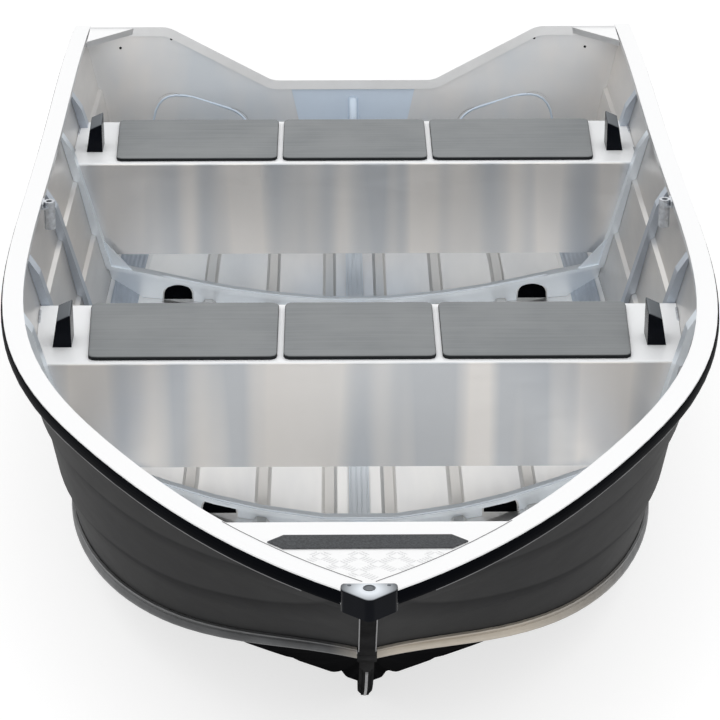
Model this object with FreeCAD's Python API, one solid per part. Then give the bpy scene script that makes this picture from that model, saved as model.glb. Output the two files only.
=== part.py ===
import FreeCAD, Part
import math
import os

from FreeCAD import Vector

os.makedirs("parts", exist_ok=True)

# Rowing boat pressed and welded from aluminium sheet, afloat. Bow towards -Y, port side towards +X.
# Heights in the values below are above the keel line. The finished model has z = 0 at the waterline.

# Whole hull
draft = 72.0
bowReach = 1558.0
halfBeam = 700.0
bowHeight = 628.0
chineSetback = 248.0
chineHalfBeam = 588.0
chineHeight = 378.0
sternBase = 1520.0
transomRake = 12.0
stemHalfWidth = 5.0

# Hull lines as shares: how far along, how wide, how high
sheerShares = (
    (0.0, 0.0, 1.0), (0.03, 0.1585, 0.9901), (0.07, 0.3214, 0.9767), (0.12, 0.4808, 0.9598),
    (0.18, 0.6376, 0.9396), (0.25, 0.7881, 0.9162), (0.33, 0.9032, 0.8906), (0.42, 0.969, 0.8638),
    (0.52, 0.9952, 0.8379), (0.64, 0.9993, 0.8147), (0.78, 0.9998, 0.8023), (0.9, 1.0003, 0.8084),
    (1.0, 0.986, 0.8282),
)
chineShares = (
    (0.0, 0.0, 1.0), (0.03, 0.1498, 0.916), (0.07, 0.3493, 0.788), (0.12, 0.558, 0.664),
    (0.18, 0.728, 0.562), (0.25, 0.853, 0.463), (0.33, 0.939, 0.382), (0.42, 0.974, 0.333),
    (0.52, 0.9916, 0.3063), (0.64, 1.0003, 0.2843), (0.78, 0.9958, 0.2559), (0.9, 0.9839, 0.2352),
    (1.0, 0.976, 0.239),
)
knuckleWidthShare = 0.87
knuckleRiseShares = ((0.0, 0.88), (0.10, 0.86), (0.25, 0.80), (0.50, 0.60), (1.0, 0.40))
keelShares = (
    (0.0, 1.0), (0.0389, 0.732), (0.0742, 0.534), (0.1095, 0.362), (0.145, 0.216),
    (0.180, 0.114), (0.233, 0.034), (0.304, 0.0), (1.0, 0.0),
)
stationShares = (0.0, 0.03, 0.07, 0.12, 0.18, 0.25, 0.33, 0.42, 0.52, 0.64, 0.78, 0.90, 1.0)
bottomStartShare = 0.012

# Sheet metal
sideThickness = 2.0
bottomThickness = 3.0
transomThickness = 3.0
lapShares = (0.30, 0.63)
lapStep = 8.0
lapHeight = 7.0
swagePlaces = (62.0, 200.0, 350.0)
swageLimitShares = (0.14, 0.40, 0.66)
swageHalfWidth = 16.5
swageSlope = 7.0
swageHeight = 9.0
swageFadeShare = 0.5
weldGap = 0.3
edgeGap = 0.5
liningGap = 0.6
sideFoot = 4.0
sheetTopDrop = 5.0
bottomInset = 1.0
toolReach = 300.0
toolOverrun = 60.0
overrun = 5.0
shareTolerance = 1e-6
tangentShare = 0.004

# Gunwale extrusion and its rubber insert
gunwaleInboard = 22.0
gunwaleOutboard = 18.0
gunwaleThickness = 3.0
gunwaleDepth = 30.0
gunwaleLip = 6.0
gunwaleWebOffset = 1.0
gunwaleInnerLeg = 14.0
fenderBulge = 4.0
fenderSteps = 6

# Bow cap
bowCapHalfWidth = 43.0
bowCapAhead = 39.0
bowCapShoulder = -3.0
bowCapBack = 18.0
bowCapCorner = 13.0
bowCapBackCorner = 6.0
bowCapRise = 4.0
bowCapDrop = 38.0
bowCapFillet = 4.0

# Rails, stem and keel
chineRailLeg = 24.0
chineRailFoot = 15.0
chineRailWall = 2.5
chineRailRidge = 2.0
chineRailRidgeHeight = 5.0
chineRailBead = 7.0
chineRailBeadShare = 0.75
chineRailBeadTurn = 75.0
chineRailBeadSteps = 6
chineRailStartShare = 0.002
stemBarHalfWidth = 14.0
stemBarDepth = 16.0
stemBarTopDrop = 44.0
stemLugHalfWidth = 16.0
stemLugHeight = 18.0
stemLugProud = 7.0
stemLugFillet = 3.0
stemLugGroove = 2.0
keelBarHalfWidth = 12.0
keelBarDepth = 18.0
keelBarCorner = 4.0
keelStripHalfWidth = 6.5
keelStripProud = 3.0
keelSteps = 25
keelsonSteps = 20
keelsonHalfWidth = 21.0
keelsonHeight = 12.0
keelsonWall = 2.5
keelsonSetback = 478.0

# Foredeck
deckLength = 258.0
deckThickness = 2.5
deckFlange = 28.0
deckDrop = 1.0
gripHalfWidth = 157.0
gripFlatHalfWidth = 132.0
gripFromEdge = 78.0
gripHalfDepth = 25.0
gripThickness = 1.5

# Thwarts and their pads
thwartTopHeight = 390.0
thwartWidth = 298.0
thwartPanelHeight = 230.0
thwartSheet = 2.5
thwartBend = 6.0
thwartFrontY = {"forward": -190.0, "aft": 959.0}
padThickness = 9.0
padCorner = 14.0
padGap = 12.6
padMargin = 12.0
padMiddle = {"forward": 304.0, "aft": 342.0}
padEndGap = {"forward": 24.0, "aft": 27.0}
padOuterTaper = {"forward": 14.0, "aft": 10.0}

# Oar rests at the ends of the thwarts
restWidth = 38.0
restTopWidth = 28.0
restLength = 62.0
restInnerHeight = 70.0
restOuterHeight = 57.0
restBackRise = 10.0
restRound = 3.0
restFromFront = 78.0
restEndGap = 28.0

# Rowlock sockets
rowlockY = 385.0
rowlockBore = 13.0
rowlockTube = 24.0
rowlockLength = 62.0
rowlockFlange = 36.0
rowlockFlangeThickness = 4.0
rowlockSeat = 1.0

# Frames across the floor and ribs up the sides
frameRiseShares = (
    (0.0, 0.0), (0.12, 0.0), (0.34, 0.14), (0.50, 0.30), (0.65, 0.50), (0.80, 0.72), (1.0, 1.0),
)
frameDepth = {"forward": 54.0, "aft": 50.0}
frameEndDepth = {"forward": 74.0, "aft": 48.0}
frameThickness = 2.5
frameFlange = 28.0
frameLip = 6.0
kneeWidth = 68.0
kneeRise = 62.0
kneeSetback = 6.0
limberWidth = 74.0
limberHeight = 36.0
limberCorner = 20.0
limberX = {"forward": 285.0, "aft": 425.0}
ribWidth = 34.0
ribDepth = 16.0
ribTopDrop = 32.0
ribSlant = 38.0
ribMiddleY = 530.0
ribAftSetback = 252.0

# Transom
transomInset = 12.0
cutHeight = 380.0
cutHalfFlat = 205.0
cutHalfTop = 470.0
cutRadius = 70.0
capWidth = 26.0
capLip = 20.0
capWall = 3.0
gussetReach = 110.0
gussetThickness = 3.0
gussetFlange = 12.0
padTopHalfWidth = 157.0
padBottomHalfWidth = 112.0
motorPadHeight = 190.0
innerPadThickness = 4.0
outerPadThickness = 12.0
motorPadCorner = 17.5
archReach = {"inner": 264.0, "outer": 512.0}
archInnerHeight = 300.0
archOuterHeight = 366.0
archFootHeight = 125.0
archCorner = 50.0
archPress = 4.0
braceLength = 190.0
braceThickness = 4.0
bungHeight = 45.0
bungX = 90.0
bungRadius = 16.0
bungLength = 11.0
bungFlange = 4.0
bungPlugShare = 0.6
beadRadius = 9.0
braceToe = 22.0
braceHole = 20.0


def follow(table, share, column):
    """Smooth value of one column of a table of shares, with no overshoot between its rows."""
    xs = [row[0] for row in table]
    ys = [row[column] for row in table]
    count = len(xs)
    slopes = [(ys[i + 1] - ys[i]) / (xs[i + 1] - xs[i]) for i in range(count - 1)]
    tangents = [slopes[0]]
    for i in range(1, count - 1):
        if slopes[i - 1] * slopes[i] <= 0:
            tangents.append(0.0)
        else:
            tangents.append(2 / (1 / slopes[i - 1] + 1 / slopes[i]))
    tangents.append(slopes[-1])
    i = max(0, min(count - 2, sum(1 for x in xs if x <= share) - 1))
    width = xs[i + 1] - xs[i]
    t = (share - xs[i]) / width
    blendA = 2 * t ** 3 - 3 * t ** 2 + 1
    blendB = t ** 3 - 2 * t ** 2 + t
    blendC = 3 * t ** 2 - 2 * t ** 3
    blendD = t ** 3 - t ** 2
    return (blendA * ys[i] + blendB * width * tangents[i]
            + blendC * ys[i + 1] + blendD * width * tangents[i + 1])


def aftAt(height):
    """Y of the raked transom plane at a height."""
    return sternBase + height * math.tan(math.radians(transomRake))


def sheerPoint(share):
    height = follow(sheerShares, share, 2) * bowHeight
    return Vector(stemHalfWidth + follow(sheerShares, share, 1) * (halfBeam - stemHalfWidth),
                  -bowReach + share * (aftAt(sheerShares[-1][2] * bowHeight) + bowReach),
                  height - draft)


def chinePoint(share):
    start = chineSetback - bowReach
    return Vector(stemHalfWidth + follow(chineShares, share, 1) * (chineHalfBeam - stemHalfWidth),
                  start + share * (aftAt(chineShares[-1][2] * chineHeight) - start),
                  follow(chineShares, share, 2) * chineHeight - draft)


def keelPoint(share):
    start = chineSetback - bowReach
    return Vector(0.0, start + share * (sternBase - start),
                  follow(keelShares, share, 1) * chineHeight - draft)


def tangent(curve, share):
    """Direction of a hull line, aft along the boat."""
    before = max(0.0, share - tangentShare)
    after = min(1.0, share + tangentShare)
    return (curve(after) - curve(before)).normalize()


def shareAt(curve, y):
    """Share along a hull line at which it passes a given Y."""
    low = 0.0
    high = 1.0
    while high - low > shareTolerance:
        middle = (low + high) / 2
        if curve(middle).y < y:
            low = middle
        else:
            high = middle
    return (low + high) / 2


def sideAt(y, z):
    """Outer line of the port side in the plane across the boat at Y, at a height."""
    low = 0.0
    high = 1.0
    while high - low > shareTolerance:
        middle = (low + high) / 2
        chine = chinePoint(middle)
        sheer = sheerPoint(middle)
        place = chine + (sheer - chine) * ((z - chine.z) / (sheer.z - chine.z))
        if place.y < y:
            low = middle
        else:
            high = middle
    return place.x


def mirrored(shape):
    return shape.mirror(Vector(0, 0, 0), Vector(1, 0, 0))


def polygon(points):
    return Part.makePolygon(list(points) + [points[0]])


def loft(sections):
    shape = Part.makeLoft([polygon(points) for points in sections], True, False)
    if shape.Volume < 0:
        shape.reverse()
    return shape


def box(x0, x1, y0, y1, z0, z1):
    return Part.makeBox(x1 - x0, y1 - y0, z1 - z0, Vector(x0, y0, z0))


def prism(points, direction):
    return Part.Face(polygon(points)).extrude(direction)


def roundedWire(points, radii, closed):
    """Straight lines through the points, with a tangent arc of the given radius at each."""
    count = len(points)
    edges = []
    starts = []
    ends = []
    for i, point in enumerate(points):
        if radii[i] == 0 or (not closed and i in (0, count - 1)):
            starts.append(point)
            ends.append(point)
            continue
        back = (points[i - 1] - point).normalize()
        ahead = (points[(i + 1) % count] - point).normalize()
        half = back.getAngle(ahead) / 2
        reach = radii[i] / math.tan(half)
        middle = (back + ahead).normalize()
        bulge = radii[i] / math.sin(half) - radii[i]
        starts.append(point + back * reach)
        ends.append(point + ahead * reach)
        edges.append((i, Part.Arc(starts[i], point + middle * bulge, ends[i]).toShape()))
    arcs = dict(edges)
    path = []
    for i in range(count):
        if i in arcs:
            path.append(arcs[i])
        if i < count - 1 or closed:
            path.append(Part.LineSegment(ends[i], starts[(i + 1) % count]).toShape())
    return Part.Wire(path)


def sideFrame(share):
    """Chine point, direction up the side, outward normal and height of the side at a station."""
    chine = chinePoint(share)
    sheer = sheerPoint(share)
    up = sheer - chine
    height = up.Length
    up.normalize()
    along = (tangent(sheerPoint, share) + tangent(chinePoint, share)).normalize()
    out = along.cross(up).normalize()
    if out.x < 0:
        out = out * -1
    return chine, up, out, height


def sideLine(height, offset, foot, head):
    """Outer face of the three planks, moved out by an offset, past chine and sheer by foot and head."""
    half = lapStep / 2
    lower = lapShares[0] * height
    upper = lapShares[1] * height
    last = height - upper - lapHeight
    return [
        (foot, offset - half * foot / lower), (lower, offset - half),
        (lower + lapHeight, offset + half), (upper, offset - half),
        (upper + lapHeight, offset + half), (height + head, offset - half * head / last),
    ]


def sideLoft(inner, outer, foot, head):
    """Side of the boat between two offsets from its outer face, on the port side."""
    sections = []
    for share in stationShares:
        chine, up, out, height = sideFrame(share)
        face = sideLine(height, outer, foot, head / up.z)
        back = sideLine(height, inner, foot, head / up.z)
        sections.append([chine + up * a + out * b for a, b in face + back[::-1]])
    return loft(sections)


def bottomFrame(share):
    """Keel point, direction up the bottom, and run and rise to the knuckle and to the port chine."""
    keel = keelPoint(share)
    chine = chinePoint(share)
    lift = Vector(0, chine.y - keel.y, chine.z - keel.z)
    rise = lift.Length
    lift.normalize()
    knuckle = (knuckleWidthShare * chine.x, follow(knuckleRiseShares, share, 1) * rise)
    return keel, lift, knuckle, (chine.x, rise)


def knucklePoint(share):
    keel, lift, knuckle, chine = bottomFrame(share)
    return keel + Vector(knuckle[0], 0, 0) + lift * knuckle[1]


def bottomLine(share, offset, swages, inset):
    """Outer face of the bottom from keel over the knuckle to the port chine, moved up by an offset."""
    keel, lift, knuckle, chine = bottomFrame(share)
    run = chine[0]
    low = knuckle[1] / knuckle[0]
    high = (chine[1] - knuckle[1]) / (run - knuckle[0])
    lowScale = math.sqrt(1 + low ** 2)
    highScale = math.sqrt(1 + high ** 2)
    points = [(0.0, offset * lowScale)]
    fade = min(1.0, run / (chineHalfBeam * swageFadeShare))
    if swages:
        for place, limit in zip(swagePlaces, swageLimitShares):
            centre = min(place, limit * run)
            wide = swageHalfWidth * fade
            top = swageHeight * fade
            slope = swageSlope * fade
            for x, h in ((centre - wide, 0.0), (centre - wide + slope, top),
                         (centre + wide - slope, top), (centre + wide, 0.0)):
                points.append((x, x * low + h + offset * lowScale))
    points.append((knuckle[0], knuckle[1] + offset * (lowScale + highScale) / 2))
    points.append((run - inset, chine[1] - inset * high + offset * highScale))
    return [keel + Vector(x, 0, 0) + lift * h for x, h in points]


def flipped(point):
    return Vector(-point.x, point.y, point.z)


def bottomLoft(lower, upper, swages, inset):
    """Bottom of the boat between two offsets from its outer face."""
    sections = []
    for share in [bottomStartShare] + list(stationShares[1:]):
        face = bottomLine(share, lower, swages, inset)
        back = bottomLine(share, upper, swages, inset)
        whole = [flipped(p) for p in face[:0:-1]] + face
        over = [flipped(p) for p in back[:0:-1]] + back
        sections.append(whole + over[::-1])
    return loft(sections)


def hullTools(gap, swages):
    """Everything outside the boat's skin, less a gap, for trimming what stands inside it."""
    port = sideLoft(-sideThickness - gap, toolReach, -toolOverrun, toolOverrun)
    bottom = bottomLoft(-toolReach, bottomThickness + gap, swages, -toolOverrun)
    return [port, mirrored(port), bottom]


def inside(shape, tools):
    for tool in tools:
        shape = shape.cut(tool)
    return shape


def gunwaleSection(share, points):
    """Points given outboard and up from the sheer, in the upright plane across the gunwale."""
    sheer = sheerPoint(share)
    along = tangent(sheerPoint, share)
    out = Vector(along.y, -along.x, 0).normalize()
    return [sheer + out * n + Vector(0, 0, z) for n, z in points]


def gunwaleLoft(points):
    return loft([gunwaleSection(share, points) for share in stationShares])


def onTransom(x, height, depth):
    """Point at a height up the raked transom plane and a depth aft of it."""
    rake = math.radians(transomRake)
    y = aftAt(height) + depth * math.cos(rake)
    return Vector(x, y, height - draft - depth * math.sin(rake))


def aftwards():
    return (onTransom(0, 0, 1) - onTransom(0, 0, 0)).normalize()


def transomPlate(points, radii, depth, thickness):
    places = [onTransom(x, height, depth) for x, height in points]
    wire = roundedWire(places, radii, True)
    return Part.Face(wire).extrude(aftwards() * thickness)


def biggest(shape):
    """The piece itself, without the offcuts that trimming leaves."""
    return max(shape.Solids, key=lambda solid: solid.Volume)


def save(name, shape):
    if shape.ShapeType == "Compound" and len(shape.Solids) == 1:
        shape = shape.Solids[0]
    shape.exportStep("parts/" + name + ".step")
    print(name, len(shape.Solids), shape.isValid())


def savePair(name, shape):
    save(name + "_port", shape)
    save(name + "_starboard", mirrored(shape))


# Hull skin
sidePort = sideLoft(-sideThickness, 0.0, sideFoot, -sheetTopDrop)
savePair("side", sidePort)
bottom = bottomLoft(0.0, bottomThickness, True, bottomInset)
save("bottom_sheet", bottom)
skinTools = hullTools(liningGap, True)

# Bow cap
bowPoint = sheerPoint(0.0)
capTop = bowPoint.z + bowCapRise


def capPlate(growth, depth):
    """Plan of the bow cap, grown on all sides, from its top face down by a depth."""
    half = bowCapHalfWidth + growth
    points = [(0.0, bowPoint.y - bowCapAhead - growth), (half, bowPoint.y + bowCapShoulder - growth),
              (half, bowPoint.y + bowCapBack + growth)]
    outline = [Vector(x, y, capTop) for x, y in points]
    outline += [Vector(-x, y, capTop) for x, y in points[:0:-1]]
    radii = [bowCapCorner, bowCapCorner, bowCapBackCorner, bowCapBackCorner, bowCapCorner]
    return Part.Face(roundedWire(outline, radii, True)).extrude(Vector(0, 0, -depth))


bowCap = capPlate(0.0, bowCapDrop)
topEdges = [e for e in bowCap.Edges if e.CenterOfMass.z > capTop - weldGap]
bowCap = bowCap.makeFillet(bowCapFillet, topEdges)
capTool = capPlate(weldGap, bowCapDrop + weldGap)
capTool.translate(Vector(0, 0, weldGap))

# Gunwales and rubber inserts
inner = -gunwaleInboard
outer = gunwaleOutboard
wall = gunwaleThickness
web = gunwaleWebOffset
gunwalePoints = [
    (inner, 0.0), (outer, 0.0), (outer, -wall), (web + wall, -wall),
    (web + wall, -gunwaleDepth + wall), (outer - gunwaleLip, -gunwaleDepth + wall),
    (outer - gunwaleLip, -gunwaleDepth), (web, -gunwaleDepth), (web, -wall),
    (inner + wall, -wall), (inner + wall, -gunwaleInnerLeg), (inner, -gunwaleInnerLeg),
]
insertTop = -wall - weldGap
insertBottom = -gunwaleDepth + wall + weldGap
fenderPoints = [(web + wall + weldGap, insertTop), (outer, insertTop)]
for step in range(1, fenderSteps):
    angle = math.pi * step / fenderSteps
    fenderPoints.append((outer + fenderBulge * math.sin(angle),
                         insertTop + (insertBottom - insertTop) * (1 - math.cos(angle)) / 2))
fenderPoints += [(outer, insertBottom), (web + wall + weldGap, insertBottom)]
portHalf = box(weldGap / 2, halfBeam * 2, -bowReach * 2, bowReach * 2, -bowHeight, bowHeight)
gunwale = gunwaleLoft(gunwalePoints).common(portHalf).cut(capTool)
fender = gunwaleLoft(fenderPoints).common(portHalf).cut(capTool)
savePair("gunwale", gunwale)
savePair("fender", fender)
save("bow_cap", inside(bowCap, [sidePort, mirrored(sidePort)]))


def bendFillet(shape, radius):
    """Round the two long top edges of a folded box."""
    top = shape.BoundBox.ZMax
    edges = [e for e in shape.Edges
             if abs(e.BoundBox.ZMin - top) < weldGap and e.BoundBox.YLength < weldGap]
    return shape.makeFillet(radius, edges)


def ribbon(curve, shares, points):
    """Bar along a centreline curve, with its section across the curve's own direction."""
    sections = []
    for share in shares:
        place = curve(share)
        along = tangent(curve, share)
        up = Vector(1, 0, 0).cross(along).normalize()
        sections.append([place + Vector(x, 0, 0) + up * h for x, h in points])
    return loft(sections)


# Stem and keel bars
grownSide = sideLoft(-sideThickness, weldGap, 0.0, 0.0)
grownBottom = bottomLoft(-weldGap, bottomThickness, False, 0.0)
skinGrown = [grownSide, mirrored(grownSide), grownBottom]

stemLength = (sheerPoint(0.0) - chinePoint(0.0)).Length
stemAlong = (chinePoint(0.0) - sheerPoint(0.0)).normalize()
stemUp = stemAlong.cross(Vector(1, 0, 0)).normalize()
if stemUp.y > 0:
    stemUp = stemUp * -1
stemFoot = Vector(0, chinePoint(0.0).y, chinePoint(0.0).z)


def stemBlock(halfWidth, proud, depth, start, end):
    """Bar along the stem between two distances up it from its foot."""
    section = [(-halfWidth, proud), (halfWidth, proud), (halfWidth, -depth), (-halfWidth, -depth)]
    return loft([[stemFoot - stemAlong * reach + Vector(x, 0, 0) + stemUp * h for x, h in section]
                 for reach in (start, end)])


stemBar = stemBlock(stemBarHalfWidth, stemBarDepth / 2, stemBarDepth, 0.0, stemLength - stemBarTopDrop)
stemLug = stemBlock(stemLugHalfWidth, stemBarDepth / 2 + stemLugProud, stemBarDepth,
                    -stemLugHeight / 2, stemLugHeight / 2)
stemLug = stemLug.makeFillet(stemLugFillet, stemLug.Edges)
groove = stemBlock(stemLugHalfWidth * 2, stemBarDepth / 2 + stemLugProud * 2,
                   -stemBarDepth / 2 - stemLugProud + stemLugGroove, -stemLugGroove / 2, stemLugGroove / 2)
stemBar = stemBar.fuse(stemLug).cut(groove)
stemBar = biggest(inside(stemBar, skinGrown + [capTool]))
save("stem_bar", stemBar)

# Chine rails
railShares = [chineRailStartShare] + [s for s in stationShares if s > chineRailStartShare]
railSections = []
for share in railShares:
    chine, up, out, height = sideFrame(share)
    inward = knucklePoint(share) - chine
    lie = (out * inward.dot(out) + up * inward.dot(up)).normalize()
    below = out * -lie.dot(up) + up * lie.dot(out)
    if below.dot(up) > 0:
        below = below * -1
    axis = (out + below).normalize()
    side = (out - below).normalize()
    hub = chine + axis * chineRailBead * chineRailBeadShare
    bead = []
    for step in range(chineRailBeadSteps + 1):
        turn = math.radians(chineRailBeadTurn * (1 - step * 2 / chineRailBeadSteps))
        bead.append(hub + (axis * math.cos(turn) + side * math.sin(turn)) * chineRailBead)
    corner = (out + below) * edgeGap
    face = edgeGap + chineRailWall
    ridge = face + chineRailRidge
    section = [chine + up * chineRailLeg + out * edgeGap]
    section += [chine + up * chineRailLeg + out * ridge]
    section += [chine + up * (chineRailLeg - chineRailRidgeHeight) + out * ridge]
    section += [chine + up * (chineRailLeg - chineRailRidgeHeight - chineRailRidge) + out * face]
    section += [chine + up * chineRailBead + out * face]
    section += bead
    section += [chine + lie * chineRailBead + below * face]
    section += [chine + lie * chineRailFoot + below * face]
    section += [chine + lie * chineRailFoot + below * edgeGap, chine + corner]
    railSections.append(section)
stemReach = stemLugHalfWidth + weldGap
stemTool = stemBlock(stemReach, toolReach, toolReach, -toolReach, stemLength)
railSeat = bottomLoft(-edgeGap, bottomThickness, True, 0.0)
savePair("chine_rail", biggest(inside(loft(railSections), [grownSide, railSeat, stemTool])))

keelStations = [bottomStartShare] + [step / keelSteps for step in range(1, keelSteps + 1)]
keelSide = [(-keelBarHalfWidth, 0.0), (-keelBarHalfWidth, keelBarCorner - keelBarDepth),
            (keelBarCorner - keelBarHalfWidth, -keelBarDepth), (-keelStripHalfWidth, -keelBarDepth),
            (-keelStripHalfWidth, -keelBarDepth - keelStripProud)]
keelSection = keelSide + [(-x, h) for x, h in keelSide[::-1]]
keelBar = inside(ribbon(keelPoint, keelStations, keelSection), [stemBar, grownBottom])
save("keel_bar", biggest(keelBar))

# Keelson along the middle of the floor
keelsonTop = bottomThickness + keelsonHeight
keelsonStart = shareAt(keelPoint, keelsonSetback - bowReach)
keelsonEnd = shareAt(keelPoint, sternBase - transomInset - transomThickness - weldGap)
keelsonShares = [keelsonStart + (keelsonEnd - keelsonStart) * step / keelsonSteps
                 for step in range(keelsonSteps + 1)]
keelsonInner = keelsonHalfWidth - keelsonWall
keelsonSection = [
    (-keelsonHalfWidth, 0.0), (-keelsonHalfWidth, keelsonTop),
    (keelsonHalfWidth, keelsonTop), (keelsonHalfWidth, 0.0),
    (keelsonInner, 0.0), (keelsonInner, keelsonTop - keelsonWall),
    (-keelsonInner, keelsonTop - keelsonWall), (-keelsonInner, 0.0),
]
save("keelson", biggest(inside(ribbon(keelPoint, keelsonShares, keelsonSection), skinTools)))
keelsonReach = keelsonHalfWidth + weldGap
keelsonTool = ribbon(keelPoint, keelsonShares, [
    (-keelsonReach, -overrun), (-keelsonReach, keelsonTop + weldGap),
    (keelsonReach, keelsonTop + weldGap), (keelsonReach, -overrun)])

# Foredeck and its grip strip
deckAftY = deckLength - bowReach
gripY = deckAftY - gripFromEdge
deckShare = shareAt(sheerPoint, deckAftY)
deckLow = sheerPoint(deckShare)
deckSlope = (bowPoint.z - deckLow.z) / (bowPoint.y - deckLow.y)


def deckAt(y):
    return deckLow.z - deckDrop + (y - deckAftY) * deckSlope


gunwaleTool = gunwaleLoft([
    (-gunwaleInboard - weldGap, overrun), (toolReach, overrun),
    (toolReach, -gunwaleDepth - overrun), (-gunwaleInboard - weldGap, -gunwaleDepth - overrun)])
deckHalf = deckLow.x - gunwaleInboard / 2
deckFront = bowPoint.y + bowCapBack
deckBlank = loft([
    [Vector(x, y, deckAt(y) - drop) for x, drop in (
        (-deckHalf, 0.0), (deckHalf, 0.0), (deckHalf, deckThickness), (-deckHalf, deckThickness))]
    for y in (deckFront, deckAftY)])
flange = box(-deckHalf, deckHalf, deckAftY - deckThickness, deckAftY,
             deckAt(deckAftY) - deckFlange, deckAt(deckAftY) - deckThickness / 2)
deck = deckBlank.fuse(flange)
for tool in (gunwaleTool, mirrored(gunwaleTool), capTool):
    deck = deck.cut(tool)
save("foredeck", biggest(deck))
gripPoints = [
    (-gripHalfWidth, gripY), (-gripFlatHalfWidth, gripY - gripHalfDepth),
    (gripFlatHalfWidth, gripY - gripHalfDepth), (gripHalfWidth, gripY),
    (gripFlatHalfWidth, gripY + gripHalfDepth), (-gripFlatHalfWidth, gripY + gripHalfDepth),
]
grip = prism([Vector(x, y, deckAt(y) + weldGap) for x, y in gripPoints], Vector(0, 0, gripThickness))
save("deck_grip", grip)

# Thwarts, folded from sheet, the pads on them, and moulded oar rests at their ends
thwartTop = thwartTopHeight - draft
for name, front in thwartFrontY.items():
    back = front + thwartWidth
    low = thwartTop - thwartPanelHeight
    whole = bendFillet(box(-halfBeam, halfBeam, front, back, low, thwartTop), thwartBend)
    hollow = bendFillet(box(-halfBeam * 2, halfBeam * 2, front + thwartSheet, back - thwartSheet,
                            low - overrun, thwartTop - thwartSheet), thwartBend - thwartSheet)
    save("thwart_" + name, inside(whole.cut(hollow), skinTools))

    floor = thwartTop + weldGap
    restY = front + restFromFront
    restX = sideAt(restY, thwartTop) - sideThickness - restEndGap - restWidth
    sections = []
    for y, rise in ((restY, 0.0), (restY + restLength, restBackRise)):
        sections.append([
            Vector(restX, y, floor), Vector(restX + restWidth, y, floor),
            Vector(restX + restTopWidth, y, floor + restOuterHeight + rise),
            Vector(restX, y, floor + restInnerHeight + rise)])
    rest = loft(sections)
    upper = [e for e in rest.Edges if e.BoundBox.ZMin > floor + restOuterHeight / 2]
    savePair("oar_rest_" + name, rest.makeFillet(restRound, upper))

    middle = padMiddle[name] / 2
    start = middle + padGap
    end = restX - padEndGap[name]
    taper = padOuterTaper[name]
    near = front + padMargin
    far = back - padMargin
    pads = {
        "middle": [(-middle, near), (middle, near), (middle, far), (-middle, far)],
        "port": [(start, near), (end - taper, near), (end, far), (start, far)],
        "starboard": [(-start, near), (taper - end, near), (-end, far), (-start, far)],
    }
    for place, corners in pads.items():
        outline = roundedWire([Vector(x, y, floor) for x, y in corners], [padCorner] * len(corners), True)
        pad = Part.Face(outline).extrude(Vector(0, 0, padThickness))
        save("seat_pad_" + name + "_" + place, pad)

# Rowlock sockets welded to the inner edge of the gunwale
rowlockSheer = sheerPoint(shareAt(sheerPoint, rowlockY))
edge = rowlockSheer.x - gunwaleInboard - weldGap
tubeFoot = rowlockSheer.z - rowlockLength
plankX = sideAt(rowlockY, tubeFoot) - sideThickness - lapStep / 2 - weldGap
tubeX = min(edge - rowlockFlangeThickness + rowlockSeat, plankX) - rowlockTube / 2
tube = Part.makeCylinder(rowlockTube / 2, rowlockLength, Vector(tubeX, rowlockY, tubeFoot))
legFoot = rowlockSheer.z - gunwaleInnerLeg
nearY = rowlockY - rowlockFlange / 2
farY = rowlockY + rowlockFlange / 2
shelf = box(tubeX, edge, nearY, farY, legFoot, legFoot + rowlockFlangeThickness)
back = box(edge - rowlockFlangeThickness, edge, nearY, farY, legFoot, rowlockSheer.z)
bore = Part.makeCylinder(rowlockBore / 2, rowlockLength + overrun * 2,
                         Vector(tubeX, rowlockY, tubeFoot - overrun))
rowlock = tube.fuse([shelf, back]).removeSplitter().cut(bore)
savePair("rowlock_socket", biggest(rowlock.cut(gunwaleTool)))

# Ribs up the sides: channels with their heads cut on a slant
def ribSpace(y0, y1, foot, top, depth):
    """Space between the port planking and a line at a depth inboard of it."""
    y = (y0 + y1) / 2
    heights = (foot - overrun, (foot + top) / 2, top - ribSlant)
    inner = [(sideAt(y, z) - sideThickness - depth, z) for z in heights]
    inner.append((sideAt(y, top) - sideThickness, top + overrun))
    inner += [(0.0, top + overrun), (0.0, foot - overrun)]
    inboard = prism([Vector(x, y0 - overrun, z) for x, z in inner], Vector(0, y1 - y0 + overrun * 2, 0))
    return box(0.0, halfBeam + overrun, y0, y1, foot, top).cut(skinTools[0]).cut(inboard)


def rib(y0, foot, top):
    whole = ribSpace(y0, y0 + ribWidth, foot, top, ribDepth)
    hollow = ribSpace(y0 + frameThickness, y0 + ribWidth - frameThickness, foot - overrun,
                      top - frameThickness, ribDepth - frameThickness)
    return biggest(whole.cut(hollow))


def ribTop(y):
    return sheerPoint(shareAt(sheerPoint, y)).z - ribTopDrop


ribPlaces = {
    "forward": (thwartFrontY["forward"] + thwartWidth + weldGap, None),
    "middle": (ribMiddleY, None),
    "aft": (thwartFrontY["aft"] + ribAftSetback, thwartTop + weldGap),
}
for name, (y0, foot) in ribPlaces.items():
    if foot is None:
        foot = chinePoint(shareAt(chinePoint, y0 + ribWidth)).z + ribDepth
    savePair("rib_" + name, rib(y0, foot, ribTop(y0)))


# Frames across the floor, turned up the sides as ribs, with knees in the corners
def floorAt(x, y):
    """Outer face of the bottom in the plane across the boat at Y."""
    keel = keelPoint(shareAt(keelPoint, y))
    knuckle = knucklePoint(shareAt(knucklePoint, y))
    return keel.z + (knuckle.z - keel.z) * x / knuckle.x


def band(line, above, below, y0, y1):
    """Strip along a line across the boat, between two heights from it."""
    upper = [Vector(x, y0, z + above) for x, z in line]
    lower = [Vector(x, y0, z + below) for x, z in line]
    return prism(upper + lower[::-1], Vector(0, y1 - y0, 0))


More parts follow.
